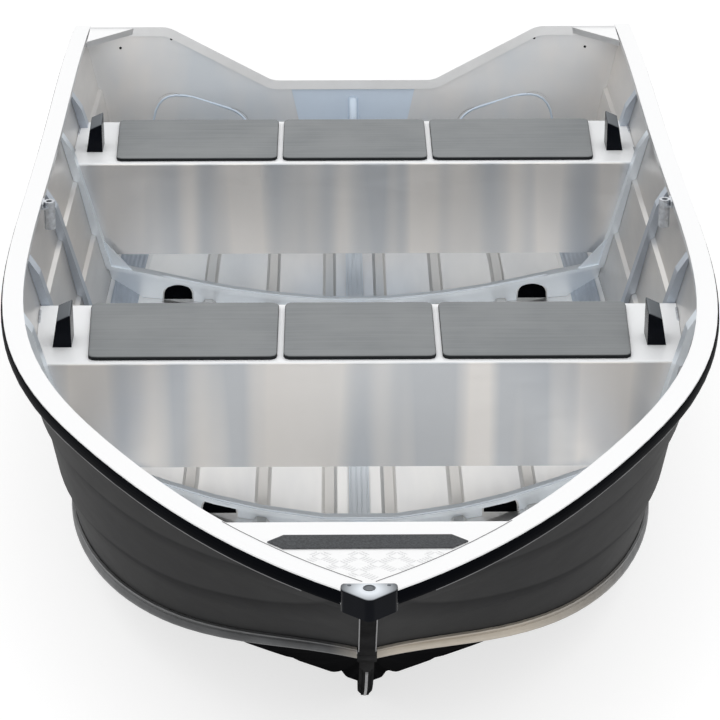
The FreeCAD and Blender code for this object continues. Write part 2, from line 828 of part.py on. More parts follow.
for name, front in thwartFrontY.items():
    y1 = front - weldGap
    flangeY = y1 - frameFlange
    startZ = keelPoint(shareAt(keelPoint, front)).z + frameDepth[name]
    endZ = chinePoint(shareAt(chinePoint, front)).z + frameEndDepth[name]
    reach = sideAt(front, endZ)
    half = [(share * reach, startZ + rise * (endZ - startZ)) for share, rise in frameRiseShares]
    line = [(-x, z) for x, z in half[:0:-1]] + half
    frame = band(line, 0.0, -toolReach / 2, y1 - frameThickness, y1)
    frame = frame.fuse([band(line, 0.0, -frameThickness, flangeY, y1),
                        band(line, 0.0, -frameThickness - frameLip, flangeY, flangeY + frameThickness)])
    kneeX = reach - kneeWidth
    last = half[-2]
    kneeZ = last[1] + (endZ - last[1]) * (kneeX - last[0]) / (reach - last[0])
    headZ = endZ + kneeRise
    kneeY = flangeY + kneeSetback
    corner = [(reach, endZ), (kneeX, kneeZ), (sideAt(front, headZ) - sideThickness - ribDepth, headZ),
              (sideAt(front, headZ), headZ)]
    knee = prism([Vector(x, kneeY, z - frameThickness / 2) for x, z in corner],
                 Vector(0, frameThickness, 0))
    upright = rib(y1 - ribWidth, endZ - frameThickness / 2, ribTop(front))
    frame = frame.fuse([knee, mirrored(knee), upright, mirrored(upright)])
    for x in (limberX[name], -limberX[name]):
        floorZ = floorAt(limberX[name], front)
        hole = box(x - limberWidth / 2, x + limberWidth / 2, y1 - frameThickness - overrun, y1 + overrun,
                   floorZ - limberHeight, floorZ + bottomThickness + limberHeight)
        rounded = [e for e in hole.Edges if e.BoundBox.YLength > overrun and e.CenterOfMass.z > floorZ]
        frame = frame.cut(hole.makeFillet(limberCorner, rounded))
    frame = inside(frame, skinTools).cut(keelsonTool)
    save("frame_" + name, biggest(frame))

# Transom, raked and cut down for an outboard motor
sheetDepth = -transomInset - transomThickness
topHeight = (sheerShares[-1][2] * bowHeight - gunwaleThickness - weldGap
             + sheetDepth * math.sin(math.radians(transomRake)))
wide = halfBeam + toolOverrun
transomOutline = [
    (-wide, -toolOverrun), (wide, -toolOverrun), (wide, topHeight), (cutHalfTop, topHeight),
    (cutHalfFlat, cutHeight), (-cutHalfFlat, cutHeight), (-cutHalfTop, topHeight), (-wide, topHeight),
]
transomRadii = [0, 0, 0, cutRadius, cutRadius, cutRadius, cutRadius, 0]
transomFace = Part.Face(roundedWire([onTransom(x, h, 0) for x, h in transomOutline], transomRadii, True))
normal = aftwards()


def transomSlab(growth, depth, thickness):
    """Transom outline moved out by a growth, between two depths along its own normal."""
    face = transomFace if growth == 0 else transomFace.makeOffset2D(growth)
    face = face.copy()
    face.translate(normal * depth)
    return face.extrude(normal * thickness)


legTool = gunwaleLoft([
    (-gunwaleInboard - liningGap, overrun), (-gunwaleInboard + gunwaleThickness + liningGap, overrun),
    (-gunwaleInboard + gunwaleThickness + liningGap, -gunwaleInnerLeg - liningGap),
    (-gunwaleInboard - liningGap, -gunwaleInnerLeg - liningGap)])
transom = transomSlab(0, sheetDepth, transomThickness)
archOutline = [(archReach["inner"], archFootHeight), (archReach["inner"], archInnerHeight),
               (archReach["outer"], archOuterHeight), (archReach["outer"], archFootHeight)]
for side in (1, -1):
    places = [onTransom(x * side, h, 0) for x, h in archOutline]
    pressed = Part.Face(roundedWire(places, [archCorner] * len(places), True))
    hollow = pressed.makeOffset2D(-transomThickness)
    pressed.translate(normal * (sheetDepth - archPress))
    hollow.translate(normal * (sheetDepth + transomThickness - archPress))
    transom = transom.fuse(pressed.extrude(normal * (archPress + transomThickness / 2)))
    transom = transom.cut(hollow.extrude(normal * (archPress + overrun)))
transom = inside(transom, skinTools + [legTool, mirrored(legTool)])
save("transom_sheet", biggest(transom))
capDepth = sheetDepth + transomThickness / 2 - capWidth / 2
cap = transomSlab(capWall, capDepth, capWidth)
cap = cap.cut(transomSlab(-capLip, capDepth - overrun, capWidth + overrun * 2))
cap = cap.cut(transomSlab(weldGap, capDepth + capWall, capWidth - capWall * 2))
for tool in skinTools + [gunwaleTool, mirrored(gunwaleTool)]:
    cap = cap.cut(tool)
save("transom_cap", biggest(cap))

# Corner gussets between gunwale and transom
sternSheer = sheerPoint(1.0)
edgeX = sternSheer.x - gunwaleInboard - weldGap
gussetY = onTransom(0, topHeight, capDepth).y - weldGap
gussetZ = sheerPoint(shareAt(sheerPoint, gussetY)).z - gussetThickness
corners = [Vector(edgeX, gussetY, gussetZ), Vector(edgeX - gussetReach, gussetY, gussetZ),
           Vector(edgeX, gussetY - gussetReach, gussetZ)]
gusset = prism(corners, Vector(0, 0, gussetThickness))
slope = (corners[0] - (corners[1] + corners[2]) / 2).normalize() * gussetThickness
lip = prism([corners[1], corners[2], corners[2] + slope, corners[1] + slope],
            Vector(0, 0, -gussetFlange))
gusset = gusset.fuse(lip).removeSplitter()
capTrim = transomSlab(capWall + weldGap, capDepth - weldGap, capWidth)
savePair("corner_gusset", biggest(inside(gusset, [gunwaleTool, capTrim])))

# Motor pads inside and outside the cut-out, and the half-round bead on the inner one
padTop = cutHeight - capLip - weldGap * 2
padFoot = padTop - motorPadHeight
padShape = [(-padTopHalfWidth, padTop), (padTopHalfWidth, padTop),
            (padBottomHalfWidth, padFoot), (-padBottomHalfWidth, padFoot)]
padRadii = [0, 0, motorPadCorner, motorPadCorner]
innerDepth = sheetDepth - weldGap - innerPadThickness
innerPad = transomPlate(padShape, padRadii, innerDepth, innerPadThickness)
beadBottom = onTransom(0, padFoot + motorPadCorner, innerDepth + beadRadius / 2)
beadTop = onTransom(0, padTop - motorPadCorner, innerDepth + beadRadius / 2)
bead = Part.makeCylinder(beadRadius, (beadTop - beadBottom).Length, beadBottom, beadTop - beadBottom)
keepFront = transomPlate([(-wide, -wide), (wide, -wide), (wide, wide), (-wide, wide)], [0, 0, 0, 0],
                         innerDepth - beadRadius * 2, beadRadius * 2 + innerPadThickness / 2)
innerPad = innerPad.fuse(bead.common(keepFront)).removeSplitter()
save("motor_pad_inner", innerPad)
outerPad = transomPlate(padShape, padRadii, -transomInset + weldGap, outerPadThickness)
save("motor_pad_outer", outerPad)

# Knee from the transom to the keelson
kneeFoot = bottomThickness + keelsonHeight + weldGap
kneeBack = sheetDepth - weldGap
heel = onTransom(-braceThickness / 2, kneeFoot, kneeBack)
top = onTransom(-braceThickness / 2, padFoot - overrun, kneeBack)
toe = Vector(heel.x, heel.y - braceLength, heel.z)
brace = prism([heel, top, top - Vector(0, braceToe, 0), toe + Vector(0, 0, braceToe), toe],
              Vector(braceThickness, 0, 0))
hub = (heel + top + toe) / 3 - Vector(overrun, 0, 0)
brace = brace.cut(Part.makeCylinder(braceHole, braceThickness + overrun * 2, hub, Vector(1, 0, 0)))
save("transom_knee", brace)

# Drain bung through the transom
bungPlace = onTransom(bungX, bungHeight, -transomInset + weldGap)
bung = Part.makeCylinder(bungRadius, bungFlange, bungPlace, normal)
bung = bung.fuse(Part.makeCylinder(bungRadius * bungPlugShare, bungLength, bungPlace, normal))
save("drain_bung", bung.removeSplitter())
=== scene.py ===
import math

import bmesh
import bpy
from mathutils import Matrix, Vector
from mathutils.bvhtree import BVHTree


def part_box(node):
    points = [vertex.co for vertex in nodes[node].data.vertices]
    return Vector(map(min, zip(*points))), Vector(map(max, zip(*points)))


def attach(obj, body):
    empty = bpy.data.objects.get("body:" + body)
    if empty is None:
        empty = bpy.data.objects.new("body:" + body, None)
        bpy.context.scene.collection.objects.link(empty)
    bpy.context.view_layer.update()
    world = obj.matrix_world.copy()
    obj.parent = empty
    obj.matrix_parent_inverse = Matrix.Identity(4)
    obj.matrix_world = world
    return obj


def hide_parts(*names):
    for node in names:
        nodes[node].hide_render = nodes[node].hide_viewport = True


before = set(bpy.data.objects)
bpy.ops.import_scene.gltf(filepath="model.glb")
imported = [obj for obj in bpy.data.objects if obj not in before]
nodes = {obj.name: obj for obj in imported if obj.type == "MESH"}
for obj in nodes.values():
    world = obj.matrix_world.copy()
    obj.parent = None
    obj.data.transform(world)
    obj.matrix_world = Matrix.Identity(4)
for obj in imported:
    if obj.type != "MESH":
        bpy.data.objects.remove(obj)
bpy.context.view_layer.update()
scene = bpy.context.scene
scene.view_settings.view_transform = "Standard"
print("frame loaded:", len(nodes), "nodes")

# Camera: a long lens in front of the bow, looking down into the boat
camera = {
    "place": (-0.0515, -5.25, 2.587),
    "lookDown": 24.106,
    "lookRight": 0.583,
    "lens": 140.0,
    "sensor": 36.0,
    "farEnd": 200.0,
}
cameraData = bpy.data.cameras.new("boatCamera")
cameraData.lens = camera["lens"]
cameraData.sensor_width = camera["sensor"]
cameraData.clip_end = camera["farEnd"]
cameraObject = bpy.data.objects.new("boatCamera", cameraData)
cameraObject.location = camera["place"]
cameraObject.rotation_euler = (math.radians(90 - camera["lookDown"]), 0.0, -math.radians(camera["lookRight"]))
scene.collection.objects.link(cameraObject)
scene.camera = cameraObject
print("camera set")


# Rays onto the parts of the boat
upwards = Vector((0.0, 0.0, 1.0))
downwards = Vector((0.0, 0.0, -1.0))
overhead = 0.6  # rays down to the floor start at this height
closeEnough = 0.0005  # a search for an edge stops at this


def surfaceOf(name):
    mesh = nodes[name].data
    return BVHTree.FromPolygons([v.co[:] for v in mesh.vertices], [p.vertices[:] for p in mesh.polygons])


def seenFrom(surface, start, direction):  # first point of the surface that way, or None
    return surface.ray_cast(Vector(start), Vector(direction).normalized())[0]


def hitFrom(surface, start, direction):
    place = seenFrom(surface, start, direction)
    if place is None:
        raise ValueError("nothing lies that way: " + str(tuple(start)))
    return place


def lastWhere(found, inside, outside):  # how far out from inside the test still says yes
    while abs(outside - inside) > closeEnough:
        middle = (inside + outside) / 2
        if found(middle):
            inside = middle
        else:
            outside = middle
    return inside


def spread(ends, steps):  # even places from one end to the other
    return [ends[0] + (ends[1] - ends[0]) * i / steps for i in range(steps + 1)]


# Node tree helpers
def newMaterial(name, colour, metallic, roughness):
    material = bpy.data.materials.new(name)
    material.use_nodes = True
    tree = material.node_tree
    shader = tree.nodes["Principled BSDF"]
    shader.inputs["Base Color"].default_value = (*colour, 1.0)
    shader.inputs["Metallic"].default_value = metallic
    shader.inputs["Roughness"].default_value = roughness
    material.diffuse_color = (*colour, 1.0)
    return material, tree, shader


def addNode(tree, kind, **values):
    node = tree.nodes.new(kind)
    for key, value in values.items():
        setattr(node, key, value)
    return node


def noise(tree, detail, rough, stretch=(1.0, 1.0, 1.0), scale=1.0):  # mostly between 0.35 and 0.65
    where = addNode(tree, "ShaderNodeTexCoord")
    mapping = addNode(tree, "ShaderNodeMapping")
    mapping.inputs["Scale"].default_value = stretch
    tree.links.new(where.outputs["Object"], mapping.inputs["Vector"])
    node = addNode(tree, "ShaderNodeTexNoise")
    node.inputs["Scale"].default_value = scale
    node.inputs["Detail"].default_value = detail
    node.inputs["Roughness"].default_value = rough
    tree.links.new(mapping.outputs["Vector"], node.inputs["Vector"])
    return node.outputs["Fac"]


def ramp(tree, source, low, high, fromLow=0.35, fromHigh=0.65):
    node = addNode(tree, "ShaderNodeMapRange")
    node.inputs["From Min"].default_value = fromLow
    node.inputs["From Max"].default_value = fromHigh
    node.inputs["To Min"].default_value = low
    node.inputs["To Max"].default_value = high
    tree.links.new(source, node.inputs["Value"])
    return node.outputs["Result"]


def mixColours(tree, factor, first, second):
    node = addNode(tree, "ShaderNodeMix", data_type="RGBA")
    for value, index in ((first, 6), (second, 7)):  # the node's two colour sockets
        if isinstance(value, tuple):
            node.inputs[index].default_value = (*value, 1.0)
        else:
            tree.links.new(value, node.inputs[index])
    tree.links.new(factor, node.inputs[0])
    return node.outputs[2]


def combine(tree, kind, first, second):
    node = addNode(tree, "ShaderNodeMath", operation=kind)
    for value, socket in ((first, node.inputs[0]), (second, node.inputs[1])):
        if isinstance(value, float):
            socket.default_value = value
        else:
            tree.links.new(value, socket)
    return node.outputs[0]


def bump(tree, shader, height, strength, distance):
    node = addNode(tree, "ShaderNodeBump")
    node.inputs["Strength"].default_value = strength
    node.inputs["Distance"].default_value = distance
    tree.links.new(height, node.inputs["Height"])
    tree.links.new(node.outputs["Normal"], shader.inputs["Normal"])


def axes(tree, kind):  # X, Y and Z of a face's place ("Object") or direction ("Normal")
    where = addNode(tree, "ShaderNodeTexCoord")
    split = addNode(tree, "ShaderNodeSeparateXYZ")
    tree.links.new(where.outputs[kind], split.inputs[0])
    return split.outputs


def upMask(tree, low, high):  # 1 on faces that look up, 0 on upright ones
    return ramp(tree, axes(tree, "Normal")["Z"], 0.0, 1.0, low, high)


def alongBeam(tree, start, full, lasting, end):  # 1 between two distances to port, faded outside them
    place = axes(tree, "Object")
    rising = ramp(tree, place["X"], 0.0, 1.0, start, full)
    falling = ramp(tree, place["X"], 1.0, 0.0, lasting, end)
    return combine(tree, "MULTIPLY", rising, falling)


# Aluminium: soft smudges, painted reflection in bands of cool grey, and a painted highlight that makes it
# paler where it looks up
def brushed(name, look):
    material, tree, shader = newMaterial(name, look["colour"], look["metal"], look["roughness"])
    grain = noise(tree, detail=3.0, rough=0.6, stretch=look["grain"])
    smudge = noise(tree, detail=4.0, rough=0.55, stretch=look["smudge"])
    dark = tuple(part * look["darker"] for part in look["colour"])
    tint = mixColours(tree, ramp(tree, smudge, 0.0, 1.0), dark, look["colour"])
    # Painted reflection: soft bands of a cool grey across the sheet
    if "reflectionTint" in look:
        bands = noise(tree, detail=1.0, rough=0.4, stretch=look["bands"])
        share = ramp(tree, bands, 0.0, look["reflectionShare"], *look["reflectionFrom"])
        tint = mixColours(tree, share, tint, look["reflectionTint"])
    # Painted highlight: faces that look up take a paler colour and their own metallic value
    if "above" in look:
        above = upMask(tree, *look["aboveFrom"])
        tint = mixColours(tree, above, tint, look["above"])
        metal = ramp(tree, above, look["metal"], look["aboveMetal"], 0.0, 1.0)
        tree.links.new(metal, shader.inputs["Metallic"])
    # Painted reflection: a warm tint on the port side
    if "portReflectionTint" in look:
        tint = mixColours(tree, alongBeam(tree, *look["portReflectionFrom"]), tint, look["portReflectionTint"])
    tree.links.new(tint, shader.inputs["Base Color"])
    low, high = look["roughness"] - look["spread"], look["roughness"] + look["spread"]
    tree.links.new(ramp(tree, grain, low, high), shader.inputs["Roughness"])
    if look["bump"]:
        bump(tree, shader, grain, look["bump"], look["depth"])
    shader.inputs["Specular IOR Level"].default_value = look.get("shine", 0.5)
    return material


# In these looks the paler colour for faces that look up is a painted highlight
gunwaleLook = {
    "colour": (0.80, 0.805, 0.81), "darker": 0.93, "metal": 0.9,
    "above": (0.965, 0.968, 0.972), "aboveFrom": (0.55, 0.8), "aboveMetal": 0.7,
    "roughness": 0.32, "spread": 0.02, "grain": (30.0, 8.0, 30.0), "smudge": (6.0, 2.0, 6.0), "bump": 0.0,
}
thwartLook = {
    "colour": (0.93, 0.91, 0.89), "darker": 0.93, "metal": 0.9,
    "above": (0.97, 0.985, 1.0), "aboveFrom": (0.55, 0.8), "aboveMetal": 0.0,
    # the cool-grey bands are painted reflections
    "reflectionTint": (0.58, 0.62, 0.67), "reflectionShare": 0.8, "reflectionFrom": (0.44, 0.6), "bands": (10.0, 1.0, 0.5),
    "roughness": 0.335, "spread": 0.03, "grain": (12.0, 60.0, 60.0), "smudge": (3.0, 3.0, 0.8), "bump": 0.0,
}
frameLook = {
    "colour": (0.84, 0.90, 0.96), "darker": 0.95, "metal": 0.6,
    "above": (0.88, 0.94, 1.0), "aboveFrom": (0.55, 0.8), "aboveMetal": 0.4,
    "roughness": 0.36, "spread": 0.04, "grain": (8.0, 120.0, 120.0), "smudge": (9.0, 9.0, 9.0),
    "bump": 0.01, "depth": 0.0005,
}
ribLook = {
    "colour": (0.53, 0.58, 0.65), "darker": 0.86, "metal": 0.85,
    "roughness": 0.36, "spread": 0.04, "grain": (120.0, 120.0, 6.0), "smudge": (8.0, 8.0, 8.0),
    "bump": 0.01, "depth": 0.0005,
}
railLook = {
    "colour": (0.115, 0.117, 0.12), "darker": 0.75, "metal": 0.6, "shine": 0.2,
    # the warm tint toward port is a painted reflection
    "portReflectionTint": (0.52, 0.47, 0.40), "portReflectionFrom": (-0.06, 0.05, 0.26, 0.50),
    "roughness": 0.36, "spread": 0.05, "grain": (90.0, 9.0, 90.0), "smudge": (14.0, 3.0, 14.0),
    "bump": 0.03, "depth": 0.0005,
}
stemLook = {
    "colour": (0.040, 0.040, 0.041), "darker": 0.6, "metal": 0.0, "shine": 0.0,
    "roughness": 0.32, "spread": 0.06, "grain": (80.0, 80.0, 12.0), "smudge": (20.0, 20.0, 12.0),
    "bump": 0.02, "depth": 0.0005,
}
weldLook = {
    "colour": (0.72, 0.75, 0.79), "darker": 0.7, "metal": 0.9,
    "roughness": 0.38, "spread": 0.06, "grain": (300.0, 300.0, 300.0), "smudge": (90.0, 90.0, 90.0),
    "bump": 0.1, "depth": 0.0005,
}
padPlateLook = dict(frameLook, colour=(0.66, 0.76, 0.88), above=(0.66, 0.76, 0.88))
trimLook = dict(ribLook, colour=(0.19, 0.19, 0.195), shine=0.1)
# Tread bars: darker than the deck's top as painted shade, with paler tops as painted highlight
treadLook = dict(gunwaleLook, colour=(0.84, 0.845, 0.85), above=(0.91, 0.913, 0.918))
brightMetal = brushed("brightGunwale", gunwaleLook)
thwartMetal = brushed("thwartSheet", thwartLook)
frameMetal = brushed("frameMetal", frameLook)
padPlate = brushed("motorPadPlate", padPlateLook)
ribMetal = brushed("ribMetal", ribLook)
railMetal = brushed("railMetal", railLook)
stemMetal = brushed("stemMetal", stemLook)
weldMetal = brushed("weldMetal", weldLook)
trimMetal = brushed("trimMetal", trimLook)
treadMetal = brushed("treadBars", treadLook)
deckPlate = brushed("deckPlate", gunwaleLook)


# Painted shadow: soft dark bands under the two laps of the side, at these shares of its height
lapSearch = {
    "ends": (-1.44, 1.56),
    "stations": 11,
    "aside": 1.5,
    "from": 0.10,
    "to": 0.62,
    "step": 0.004,
    "shares": (0.30, 0.63),
}


def lapHeights(look):  # rows of a place along the boat and the height of each lap there
    surface = surfaceOf("side_port")
    steps = int((look["to"] - look["from"]) / look["step"])
    found = []
    for y in spread(look["ends"], look["stations"] - 1):
        heights = [look["from"] + look["step"] * step for step in range(steps)]
        heights = [z for z in heights if seenFrom(surface, (look["aside"], y, z), (-1, 0, 0))]
        low, high = heights[0], heights[-1]
        found.append((y, *(low + (high - low) * share for share in look["shares"])))
    return found


# Mask for the painted shadow under a lap
def underLap(tree, heights, fade):  # 1 just under the lap, fading downwards
    place = axes(tree, "Object")
    along = ramp(tree, place["Y"], 0.0, 1.0, heights[0][0], heights[-1][0])
    curve = addNode(tree, "ShaderNodeFloatCurve")
    points = curve.mapping.curves[0].points
    while len(points) < len(heights):
        points.new(0.5, 0.5)
    for i, row in enumerate(heights):
        points[i].location = (i / (len(heights) - 1), row[1])
    curve.mapping.update()
    tree.links.new(along, curve.inputs["Value"])
    above = combine(tree, "SUBTRACT", place["Z"], curve.outputs[0])
    lower = ramp(tree, above, 0.0, 1.0, -fade[0], 0.0)
    upper = ramp(tree, above, 1.0, 0.0, 0.0, fade[1])
    return combine(tree, "MULTIPLY", lower, upper)


def acrossSwage(tree, place, half, core):  # 1 on a swage of the floor, soft outside its core
    aside = combine(tree, "ABSOLUTE", axes(tree, "Object")["X"], 0.0)
    away = combine(tree, "ABSOLUTE", combine(tree, "SUBTRACT", aside, place), 0.0)
    return ramp(tree, away, 1.0, 0.0, half * core, half)


# Hull sheet: bare inside, dark outside, told apart by which way a face looks
def hullSkin(name, look, outwards, laps=()):
    material, tree, shader = newMaterial(name, look["inside"], look["metal"], look["insideRoughness"])
    where = addNode(tree, "ShaderNodeTexCoord")
    facing = addNode(tree, "ShaderNodeVectorMath", operation="MULTIPLY")
    facing.inputs[1].default_value = outwards
    tree.links.new(where.outputs["Normal"], facing.inputs[0])
    if outwards[0]:  # the two sides look opposite ways
        side = addNode(tree, "ShaderNodeVectorMath", operation="SIGN")
        tree.links.new(where.outputs["Object"], side.inputs[0])
        lean = addNode(tree, "ShaderNodeVectorMath", operation="MULTIPLY")
        tree.links.new(facing.outputs[0], lean.inputs[0])
        tree.links.new(side.outputs[0], lean.inputs[1])
        facing = lean
    dot = addNode(tree, "ShaderNodeVectorMath", operation="DOT_PRODUCT")
    dot.inputs[1].default_value = (1.0, 1.0, 1.0)
    tree.links.new(facing.outputs[0], dot.inputs[0])
    mask = ramp(tree, dot.outputs["Value"], 0.0, 1.0, fromLow=0.0, fromHigh=0.02)
    smudge = noise(tree, detail=4.0, rough=0.6, stretch=look["smudge"])
    grain = noise(tree, detail=3.0, rough=0.6, stretch=look["grain"])
    inner = mixColours(tree, ramp(tree, smudge, 0.0, 1.0), look["insideDark"], look["inside"])
    # Painted shade: darker bands on the floor's swages
    for place in look.get("swages", ()):
        swage = acrossSwage(tree, place, look["swageHalf"], look["swageCore"])
        inner = mixColours(tree, swage, inner, look["paintedSwageShade"])
    outer = mixColours(tree, ramp(tree, smudge, 0.0, 1.0), look["outsideDark"], look["outside"])
    # Painted shadow: a dark band under each lap
    for heights in laps:
        outer = mixColours(tree, underLap(tree, heights, look["lapFade"]), outer, look["paintedLapShadow"])
    tree.links.new(mixColours(tree, mask, inner, outer), shader.inputs["Base Color"])
    rough = ramp(tree, mask, look["insideRoughness"], look["outsideRoughness"], 0.0, 1.0)
    sway = ramp(tree, grain, -look["sway"], look["sway"])
    tree.links.new(combine(tree, "ADD", rough, sway), shader.inputs["Roughness"])
    tree.links.new(ramp(tree, mask, look["metal"], look["outsideMetal"], 0.0, 1.0), shader.inputs["Metallic"])
    shader.inputs["Specular IOR Level"].default_value = look["shine"]
    return material


sideLook = {
    "inside": (0.745, 0.725, 0.70), "insideDark": (0.60, 0.595, 0.59), "insideRoughness": 0.32, "metal": 0.88,
    "outside": (0.046, 0.046, 0.046), "outsideDark": (0.039, 0.039, 0.040), "outsideRoughness": 0.5,
    "outsideMetal": 0.0, "shine": 0.02, "smudge": (3.0, 1.2, 4.0), "grain": (20.0, 6.0, 60.0), "sway": 0.02,
    "paintedLapShadow": (0.018, 0.018, 0.019), "lapFade": (0.030, 0.005),
}
bottomLook = dict(
    sideLook, inside=(1.0, 0.99, 0.97), insideDark=(0.88, 0.88, 0.88),
    # the bottom's near-black outside is painted shade
    outside=(0.014, 0.014, 0.015), outsideDark=(0.011, 0.011, 0.012), shine=0.0,
    grain=(60.0, 5.0, 60.0), smudge=(7.0, 1.2, 7.0),
    swages=(0.062, 0.200, 0.350), swageHalf=0.0175, swageCore=0.55, paintedSwageShade=(0.76, 0.745, 0.72),
)
transomLook = dict(
    sideLook, inside=(0.80, 0.78, 0.76), insideDark=(0.66, 0.70, 0.74),
    grain=(5.0, 60.0, 60.0), smudge=(3.0, 3.0, 1.5),
)
lapsFound = lapHeights(lapSearch)
lapLines = [[(row[0], row[column]) for row in lapsFound] for column in (1, 2)]
print("laps:", [tuple(round(value, 3) for value in row) for row in lapsFound])
sideSkin = hullSkin("sideSkin", sideLook, (1.0, 0.0, -0.3), lapLines)
bottomSkin = hullSkin("bottomSkin", bottomLook, (0.0, 0.0, -1.0))
transomSkin = hullSkin("transomSkin", transomLook, (0.0, 1.0, 0.0))


# Rubber, moulded plastic, grip tape
def moulded(name, look):
    material, tree, shader = newMaterial(name, look["colour"], 0.0, look["roughness"])
    grit = noise(tree, detail=4.0, rough=0.65, scale=look["grit"])
    patch = noise(tree, detail=3.0, rough=0.5, scale=look["patch"])
    dark = tuple(part * look["darker"] for part in look["colour"])
    tint = mixColours(tree, ramp(tree, patch, 0.0, 1.0), dark, look["colour"])
    # Painted highlight: faces that look up take a paler colour
    if "above" in look:
        above = upMask(tree, *look["aboveFrom"])
        # Painted reflection: the pale top fades out away from one point
        if "around" in look:  # pale only near this point
            where = addNode(tree, "ShaderNodeTexCoord")
            away = addNode(tree, "ShaderNodeVectorMath", operation="DISTANCE")
            away.inputs[1].default_value = look["around"]
            tree.links.new(where.outputs["Object"], away.inputs[0])
            near = ramp(tree, away.outputs["Value"], 1.0, look["rim"], *look["aroundFade"])
            above = combine(tree, "MULTIPLY", above, near)
        tint = mixColours(tree, above, tint, look["above"])
    tree.links.new(tint, shader.inputs["Base Color"])
    low, high = look["roughness"] - look["spread"], look["roughness"] + look["spread"]
    tree.links.new(ramp(tree, grit, low, high), shader.inputs["Roughness"])
    shader.inputs["Specular IOR Level"].default_value = look["shine"]
    bump(tree, shader, grit, look["bump"], look["depth"])
    return material


rubberLook = {
    "colour": (0.003, 0.0035, 0.005), "darker": 0.7, "roughness": 0.5, "spread": 0.05, "shine": 0.008,
    "grit": 900.0, "patch": 6.0, "bump": 0.05, "depth": 0.0003,
}
# In the plastic looks the paler colour for faces that look up is a painted highlight
plasticLook = {
    "colour": (0.004, 0.005, 0.008), "darker": 0.8, "above": (0.16, 0.175, 0.19), "aboveFrom": (0.3, 0.95),
    "roughness": 0.24, "spread": 0.03, "shine": 0.06,
    "grit": 500.0, "patch": 20.0, "bump": 0.03, "depth": 0.0003,
}
# The cap's pale top near one point is a painted reflection
reflectionForward = 0.022  # middle of the cap's pale top, forward of its after edge
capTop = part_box("bow_cap")[1]
capLook = dict(
    plasticLook, above=(0.80, 0.85, 0.90), aboveFrom=(0.45, 0.82), rim=0.15, aroundFade=(0.014, 0.043),
    around=(0.0, capTop[1] - reflectionForward, capTop[2]),
)
gripLook = {
    "colour": (0.085, 0.090, 0.097), "darker": 0.55, "roughness": 0.85, "spread": 0.08, "shine": 0.4,
    "grit": 1400.0, "patch": 300.0, "bump": 0.9, "depth": 0.0012,
}
rubber = moulded("blackRubber", rubberLook)
plastic = moulded("blackPlastic", plasticLook)
capPlastic = moulded("bowCapPlastic", capLook)
gripTape = moulded("gripTape", gripLook)


# Seat pads: grey top, with painted shade making the rim's sides near black, and a fine grain across the boat
def padFinish(name, look):
    material, tree, shader = newMaterial(name, look["top"], 0.0, look["roughness"])
    brush = noise(tree, detail=4.0, rough=0.6, stretch=look["brush"])
    grit = noise(tree, detail=3.0, rough=0.6, scale=look["grit"])
    wear = noise(tree, detail=3.0, rough=0.5, scale=look["wear"])
    top = mixColours(tree, ramp(tree, brush, 0.0, 1.0), look["topDark"], look["top"])
    top = mixColours(tree, ramp(tree, wear, 0.0, look["wearShare"]), top, look["worn"])
    # Painted shade: faces that do not look up, the rim's sides, take the near-black colour
    tint = mixColours(tree, upMask(tree, *look["topFrom"]), look["edge"], top)
    tree.links.new(tint, shader.inputs["Base Color"])
    shader.inputs["Specular IOR Level"].default_value = look["shine"]
    bump(tree, shader, combine(tree, "ADD", brush, grit), look["bump"], look["depth"])
    return material


padLook = {
    "top": (0.255, 0.268, 0.275), "topDark": (0.215, 0.228, 0.236), "topFrom": (0.35, 0.8),
    "worn": (0.30, 0.31, 0.315), "wear": 7.0, "wearShare": 0.5, "edge": (0.008, 0.010, 0.012),
    "roughness": 0.78, "shine": 0.3, "brush": (4.0, 170.0, 60.0), "grit": 1100.0,
    "bump": 0.35, "depth": 0.0005,
}
padFoam = padFinish("padFoam", padLook)
print("materials made")

# Finish of each part of the boat, by the start of its name
finishes = {
    "side": sideSkin, "bottom_sheet": bottomSkin, "transom_sheet": transomSkin, "transom_cap": brightMetal,
    "gunwale": brightMetal, "fender": rubber, "chine_rail": railMetal, "stem_bar": stemMetal,
    "keel_bar": stemMetal, "keelson": frameMetal, "bow_cap": capPlastic, "foredeck": deckPlate,
    "deck_grip": gripTape, "thwart": thwartMetal, "seat_pad": padFoam, "oar_rest": plastic,
    "frame": frameMetal, "rib": ribMetal, "rowlock_socket": weldMetal, "corner_gusset": brightMetal,
    "motor_pad_inner": padPlate, "motor_pad_outer": plastic, "transom_knee": ribMetal, "drain_bung": plastic,
}
for name, node in nodes.items():
    key = max((k for k in finishes if name.startswith(k)), key=len)
    node.data.materials.clear()
    node.data.materials.append(finishes[key])
print("finishes on every node")


# Mesh helpers
def addPiece(name, bm, material, smooth=True):
    mesh = bpy.data.meshes.new(name)
    bmesh.ops.recalc_face_normals(bm, faces=bm.faces)
    bm.to_mesh(mesh)
    bm.free()
    for face in mesh.polygons:
        face.use_smooth = smooth
    mesh.materials.append(material)
    piece = bpy.data.objects.new(name, mesh)
    scene.collection.objects.link(piece)
    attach(piece, "root")
    return piece


def bridge(bm, first, second):  # a band of faces between two closed rings of vertices
    for i in range(len(first)):
        j = (i + 1) % len(first)
        bm.faces.new((first[i], first[j], second[j], second[i]))


def loft(bm, rings):  # skin over closed rings of places, shut at both ends
    rings = [[bm.verts.new(place) for place in ring] for ring in rings]
    for first, second in zip(rings, rings[1:]):
        bridge(bm, first, second)
    bm.faces.new(rings[0])
    bm.faces.new(rings[-1][::-1])


def sweep(bm, path, section):  # a closed section of (aside, up) along a path of (place, aside, up)
    loft(bm, [[place + aside * a + up * b for a, b in section] for place, aside, up in path])


